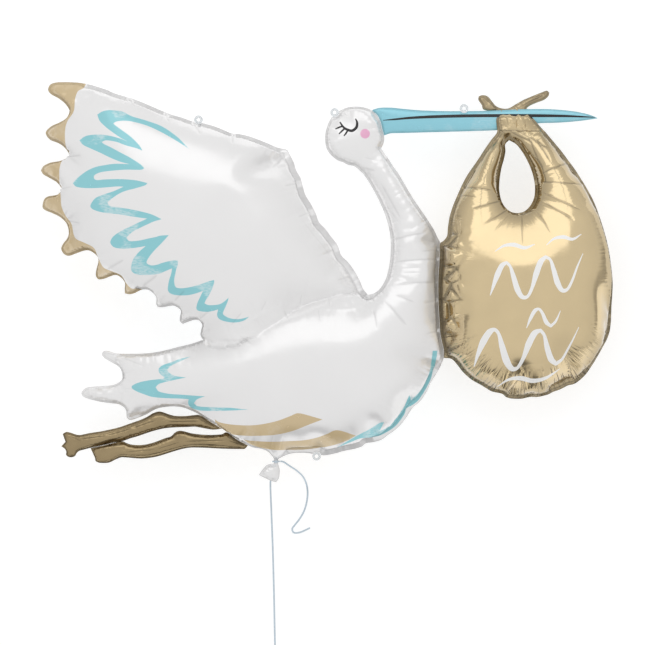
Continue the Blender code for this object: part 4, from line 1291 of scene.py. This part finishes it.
class STORK_OT_ribbon(bpy.types.Operator):
    """Lays the two ends of the ribbon from the tie at the filling neck, and gives its knots the
    ribbon's satin
    """

    bl_idname = "stork.ribbon"
    bl_label = "Ribbon"

    def execute(self, context):
        width = context.scene.stork_sizes.ribbon_width
        thickness, step = 0.0006, 0.0025
        twist, twisted_share = 0.35, 0.6
        x, y = on_grid([TIE])[0]
        under_knot, beside_knot = 0.1183, 0.0117
        starts = {
            "ribbon_long_end": (x, y, under_knot),
            "ribbon_short_end": (x + beside_knot, y, SEAM_HEIGHT),
        }
        routes = {"ribbon_long_end": LONG_END_ROUTE, "ribbon_short_end": SHORT_END_ROUTE}
        for node, route in routes.items():
            line, length = smooth_route(route_points(starts[node], route), step)
            share = np.linspace(0, 1, len(line))
            turn = twist * np.sin(7 * share) * (share < twisted_share)
            piece = ribbon_strip(node + "_strip", line, width, thickness, turn)
            dress(piece, node)
        for node in ("ribbon_knot", "ribbon_end_knot"):
            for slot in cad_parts[node].material_slots:
                slot.material = finish("Ribbon satin")
        return {"FINISHED"}


class STORK_OT_body(bpy.types.Operator):
    """Fills the white bag of body, tail, wing, neck and head, with its prints"""

    bl_idname = "stork.body"
    bl_label = "Body"

    def execute(self, context):
        sizes = context.scene.stork_sizes
        fold = smooth_loop(on_grid(CREASE), 0.006, closed=False)
        depth = sizes.crease_depth
        puff = 0.86

        def hold(plan, source, held):
            """Holds the bag in at the fold of the wing, and at the neck where it is tied."""
            on_fold = (source >= 0) & (source < len(fold))
            share = source[on_fold] / (len(fold) - 1)
            height = np.maximum(depth * np.sin(math.pi * share), 0) ** 0.4 * depth**0.6
            held[on_fold] = height**2 / (2 * puff**2)
            tied_reach, tied_height = 0.02, 0.0055
            x, y = on_grid([TIE])[0]
            near = np.hypot(plan[:, 0] - x, plan[:, 1] - y) < tied_reach
            held[near & np.isnan(held)] = 0.5 * (tied_height / puff) ** 2

        shapes = [
            ("Feather gold print", FEATHER_GOLD, 0.004, 62),
            ("Aqua brush print", WING_STROKE_OUTER + WING_STROKE_INNER, 0.003, 80),
            ("Aqua brush print", TAIL_STROKE, 0.003, 80),
            ("Aqua brush print", CHEST_STROKE, 0.003, 80),
            *(("Feather gold print", band, 0.004, 80) for band in BELLY_BANDS),
        ]
        prints = [
            (name, smooth_loop(on_grid(shape), step, corner))
            for name, shape, step, corner in shapes
        ]
        prints += [("Printed ink", brush_outline(stroke, 0.0015)) for stroke in (LID, *LASHES)]
        cheek_x, cheek_y, cheek_r = CHEEK
        turns = np.linspace(0, 2 * math.pi, 28, endpoint=False)
        cheek = [(cheek_x + cheek_r * math.cos(a), cheek_y + cheek_r * math.sin(a)) for a in turns]
        prints.append(("Cheek pink print", on_grid(cheek)))
        piece = foil_bag("stork_envelope", {
            "weld": weld_widths,
            "puff": puff,
            "pressure": 100,
            "give": 4,
            "fullness": 1.2,
            "frames": 28,
            "film_steps": [(0.0065, 0.045), (0.014, 9)],
            "folds": [fold],
            "pucker": [(0.0015, 0.03, 0.016), (0.001, 0.014, 0.008)],
            "dents": BODY_DENTS,
            "evening": 16,
            "hold": hold,
            "prints": prints,
            "foil": "White pearl foil",
        })
        dress(piece, "stork_envelope")
        return {"FINISHED"}


class STORK_OT_bundle(bpy.types.Operator):
    """Fills the gold bundle with its loop, knot band and loose knot ends"""

    bl_idname = "stork.bundle"
    bl_label = "Bundle"

    def execute(self, context):
        puff = 0.84
        levels = [on_grid([(0, y)])[0][1] for y, _ in BAND_LIFTS]
        lifts = [BAND_LIFT * max(share, 0) + BAND_DROP * min(share, 0) for _, share in BAND_LIFTS]
        band_top = on_grid([(0, BAND_TOP)])[0][1]

        def weld(loop):
            """A weld that narrows towards the knot ends."""
            wide, narrowing, stretch = 0.008, 0.003, 0.02
            share = np.clip((loop[:, 1] - band_top + 0.5 * stretch) / stretch, 0, 1)
            return wide - narrowing * share

        def hold(plan, source, held):
            """Holds the knot ends nearly flat."""
            height = 0.0012
            thin = (plan[:, 1] > band_top) & np.isnan(held)
            held[thin] = 0.5 * (height / puff) ** 2

        def lift(plan):
            return np.interp(plan[:, 1], levels, lifts)

        band_foot = on_grid([(0, BAND_FOOT)])[0][1]

        def crumple(plan):
            """Hard pillows where the bundle presses against the chest, and folds in the band."""
            wide, tall, deep, reach, furthest = 0.05, 0.043, 0.031, 0.026, 0.09
            edge, valley = 0.45, 0.4
            gap = distance_to(plan, [on_grid(PRESSED_SIDE)], closed=False)
            out = np.zeros(len(plan))
            for index in np.flatnonzero(gap < furthest):
                x, y = plan[index]
                cells, _ = noise.voronoi(Vector((x / wide, y / tall, 0.7)))
                share = gap[index] / reach
                pillow = min(1, (cells[1] - cells[0]) / edge) - valley
                out[index] = deep * pillow * share * math.exp(1 - share - share**2 / 3)
            fold_height, fold_start, fold_slant = 0.006, 0.006, 0.35
            knot_height, knot_radius = 0.007, 0.008
            band = np.clip((plan[:, 1] - band_foot) / fold_start, 0, 1)
            x = plan[:, 0] + fold_slant * (plan[:, 1] - band_foot)
            gather = np.abs(np.sin(150 * x) + 0.6 * np.sin(67 * x + 1)) / 1.6
            out += fold_height * band * (1 - gather)
            knot = np.hypot(*(plan - on_grid([KNOT])[0]).T)
            out += knot_height * np.exp(-((knot / knot_radius) ** 2))
            return out

        def pucker_share(plan):
            """Deep puckers at the bundle's foot, and shallow ones above it."""
            return np.interp(plan[:, 1], [-0.27, -0.13], [0.9, 0.12])

        piece = foil_bag("bundle", {
            "weld": weld,
            "tallest": 0.02,
            "puff": puff,
            "pressure": 150,
            "give": 4,
            "fullness": 1.24,
            "frames": 30,
            "film_steps": [(0.006, 0.045), (0.012, 9)],
            "hold": hold,
            "lift": lift,
            "pucker": [(0.0016, 0.034, 0.018), (0.0009, 0.015, 0.01)],
            "pucker_share": pucker_share,
            "evening": 40,
            "crumple": crumple,
            "dents": BUNDLE_DENTS,
            "foil": "Gold foil",
            "prints": [("White brush print", brush_outline(stroke)) for stroke in FLOURISHES],
        })
        dress(piece, "bundle")
        return {"FINISHED"}


class STORK_OT_beak(bpy.types.Operator):
    """Makes the nearly flat blue bill with its mouth line"""

    bl_idname = "stork.beak"
    bl_label = "Beak"

    def execute(self, context):
        piece = foil_bag("beak", {
            "weld": 0.0025,
            "rims": 1,
            "puff": 0.25,
            "steps": [(0.003, 0.012), (0.005, 9)],
            "film_steps": [(0.003, 0.012), (0.005, 9)],
            "pucker": [(0.0004, 0.012, 0.004)],
            "foil": "Blue bill foil",
            "prints": [("Printed ink", brush_outline(MOUTH_LINE))],
        })
        dress(piece, "beak")
        return {"FINISHED"}


class STORK_OT_legs(bpy.types.Operator):
    """Fills the two slim bronze legs"""

    bl_idname = "stork.legs"
    bl_label = "Legs"

    def execute(self, context):
        for node in ("upper_leg", "lower_leg"):
            piece = foil_bag(node, {
                "weld": 0.003,
                "puff": 0.95,
                "steps": [(0.0024, 0.008), (0.0035, 9)],
                "film_steps": [(0.004, 9)],
                "pressure": 400,
                "give": 3,
                "fullness": 1,
                "frames": 24,
                "pucker": [(0.0012, 0.02, 0.006)],
                "evening": 10,
                "dents": LEG_DENTS,
                "foil": "Bronze foil",
            })
            dress(piece, node)
        return {"FINISHED"}


class STORK_OT_tabs(bpy.types.Operator):
    """Gives the four hang tabs their clear film"""

    bl_idname = "stork.tabs"
    bl_label = "Hang tabs"

    def execute(self, context):
        for node in ("wing_tab", "head_tab", "belly_tab", "beak_tab"):
            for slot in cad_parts[node].material_slots:
                slot.material = finish("Clear film")
        return {"FINISHED"}


def surroundings(scene):
    """An even pale sky, darker near the horizon and to the sides, darkest low down in front."""
    world = bpy.data.worlds.new("Surroundings")
    scene.world = world
    world.use_nodes = True
    sky = Nodes(world.node_tree)
    direction = sky.add("ShaderNodeTexCoord").outputs["Generated"]
    levels = [
        sky.between(sky.part(direction, axis), low, high, at_low, at_high, "SMOOTHSTEP")
        for axis, low, high, at_low, at_high in SKY_RAMPS
    ]
    level = levels[0]
    for following in levels[1:]:
        level = sky.times(level, following)
    sky.link(level, sky.tree.nodes["Background"].inputs["Color"])


def softbox(name, place, target, size, radiance):
    data = bpy.data.lights.new(name, "AREA")
    data.shape = "RECTANGLE"
    data.size, data.size_y = size
    data.energy = radiance * math.pi * size[0] * size[1]
    light = bpy.data.objects.new(name, data)
    light.location = place
    light.rotation_mode = "QUATERNION"
    light.rotation_quaternion = (Vector(target) - Vector(place)).to_track_quat("-Z", "Y")
    light.visible_camera = False
    bpy.context.scene.collection.objects.link(light)


class STORK_OT_stage(bpy.types.Operator):
    """Sets the pale floor, the surroundings and the softbox"""

    bl_idname = "stork.stage"
    bl_label = "Stage"

    def execute(self, context):
        mesh = bpy.data.meshes.new("floor")
        half, level = 8, -0.001
        corners = [(-half, -half), (half, -half), (half, half), (-half, half)]
        mesh.from_pydata([(x, y, level) for x, y in corners], [], [[0, 1, 2, 3]])
        floor = bpy.data.objects.new("floor", mesh)
        made = Finish("Pale floor", (0.5, 0.5, 0.5), 0.0, 0.9)
        made.shader.inputs["Emission Color"].default_value = (1, 1, 1, 1)
        made.shader.inputs["Emission Strength"].default_value = 0.64
        made.shader.inputs["Specular IOR Level"].default_value = 0.1
        mesh.materials.append(made.material)
        context.scene.collection.objects.link(floor)

        surroundings(context.scene)
        softbox("upper_softbox", (0.0, 3.2, 3.9), (0, 0, 0.1), (5.0, 2.8), 0.6)
        context.scene.view_settings.view_transform = "Standard"
        return {"FINISHED"}


class STORK_PT_panel(bpy.types.Panel):
    """Lists the steps that build the balloon"""

    bl_idname = "STORK_PT_panel"
    bl_label = "Stork Balloon"
    bl_space_type = "VIEW_3D"
    bl_region_type = "UI"
    bl_category = "Stork Balloon"

    def draw(self, context):
        for operator in OPERATORS:
            self.layout.operator(operator.bl_idname)
        for settings in (context.scene.stork_sizes, context.scene.stork_colours):
            for name in settings.bl_rna.properties.keys()[2:]:
                self.layout.prop(settings, name)


OPERATORS = (
    STORK_OT_camera,
    STORK_OT_ribbon,
    STORK_OT_body,
    STORK_OT_bundle,
    STORK_OT_beak,
    STORK_OT_legs,
    STORK_OT_tabs,
    STORK_OT_stage,
)
CLASSES = (StorkSizes, StorkColours, *OPERATORS, STORK_PT_panel)


def register():
    for made in CLASSES:
        bpy.utils.register_class(made)
    bpy.types.Scene.stork_sizes = bpy.props.PointerProperty(type=StorkSizes)
    bpy.types.Scene.stork_colours = bpy.props.PointerProperty(type=StorkColours)


def unregister():
    del bpy.types.Scene.stork_colours
    del bpy.types.Scene.stork_sizes
    for made in reversed(CLASSES):
        bpy.utils.unregister_class(made)


def main():
    register()
    bpy.ops.stork.camera()
    bpy.ops.stork.ribbon()
    bpy.ops.stork.body()
    bpy.ops.stork.bundle()
    bpy.ops.stork.beak()
    bpy.ops.stork.legs()
    bpy.ops.stork.tabs()
    bpy.ops.stork.stage()


if __name__ == "__main__":
    main()
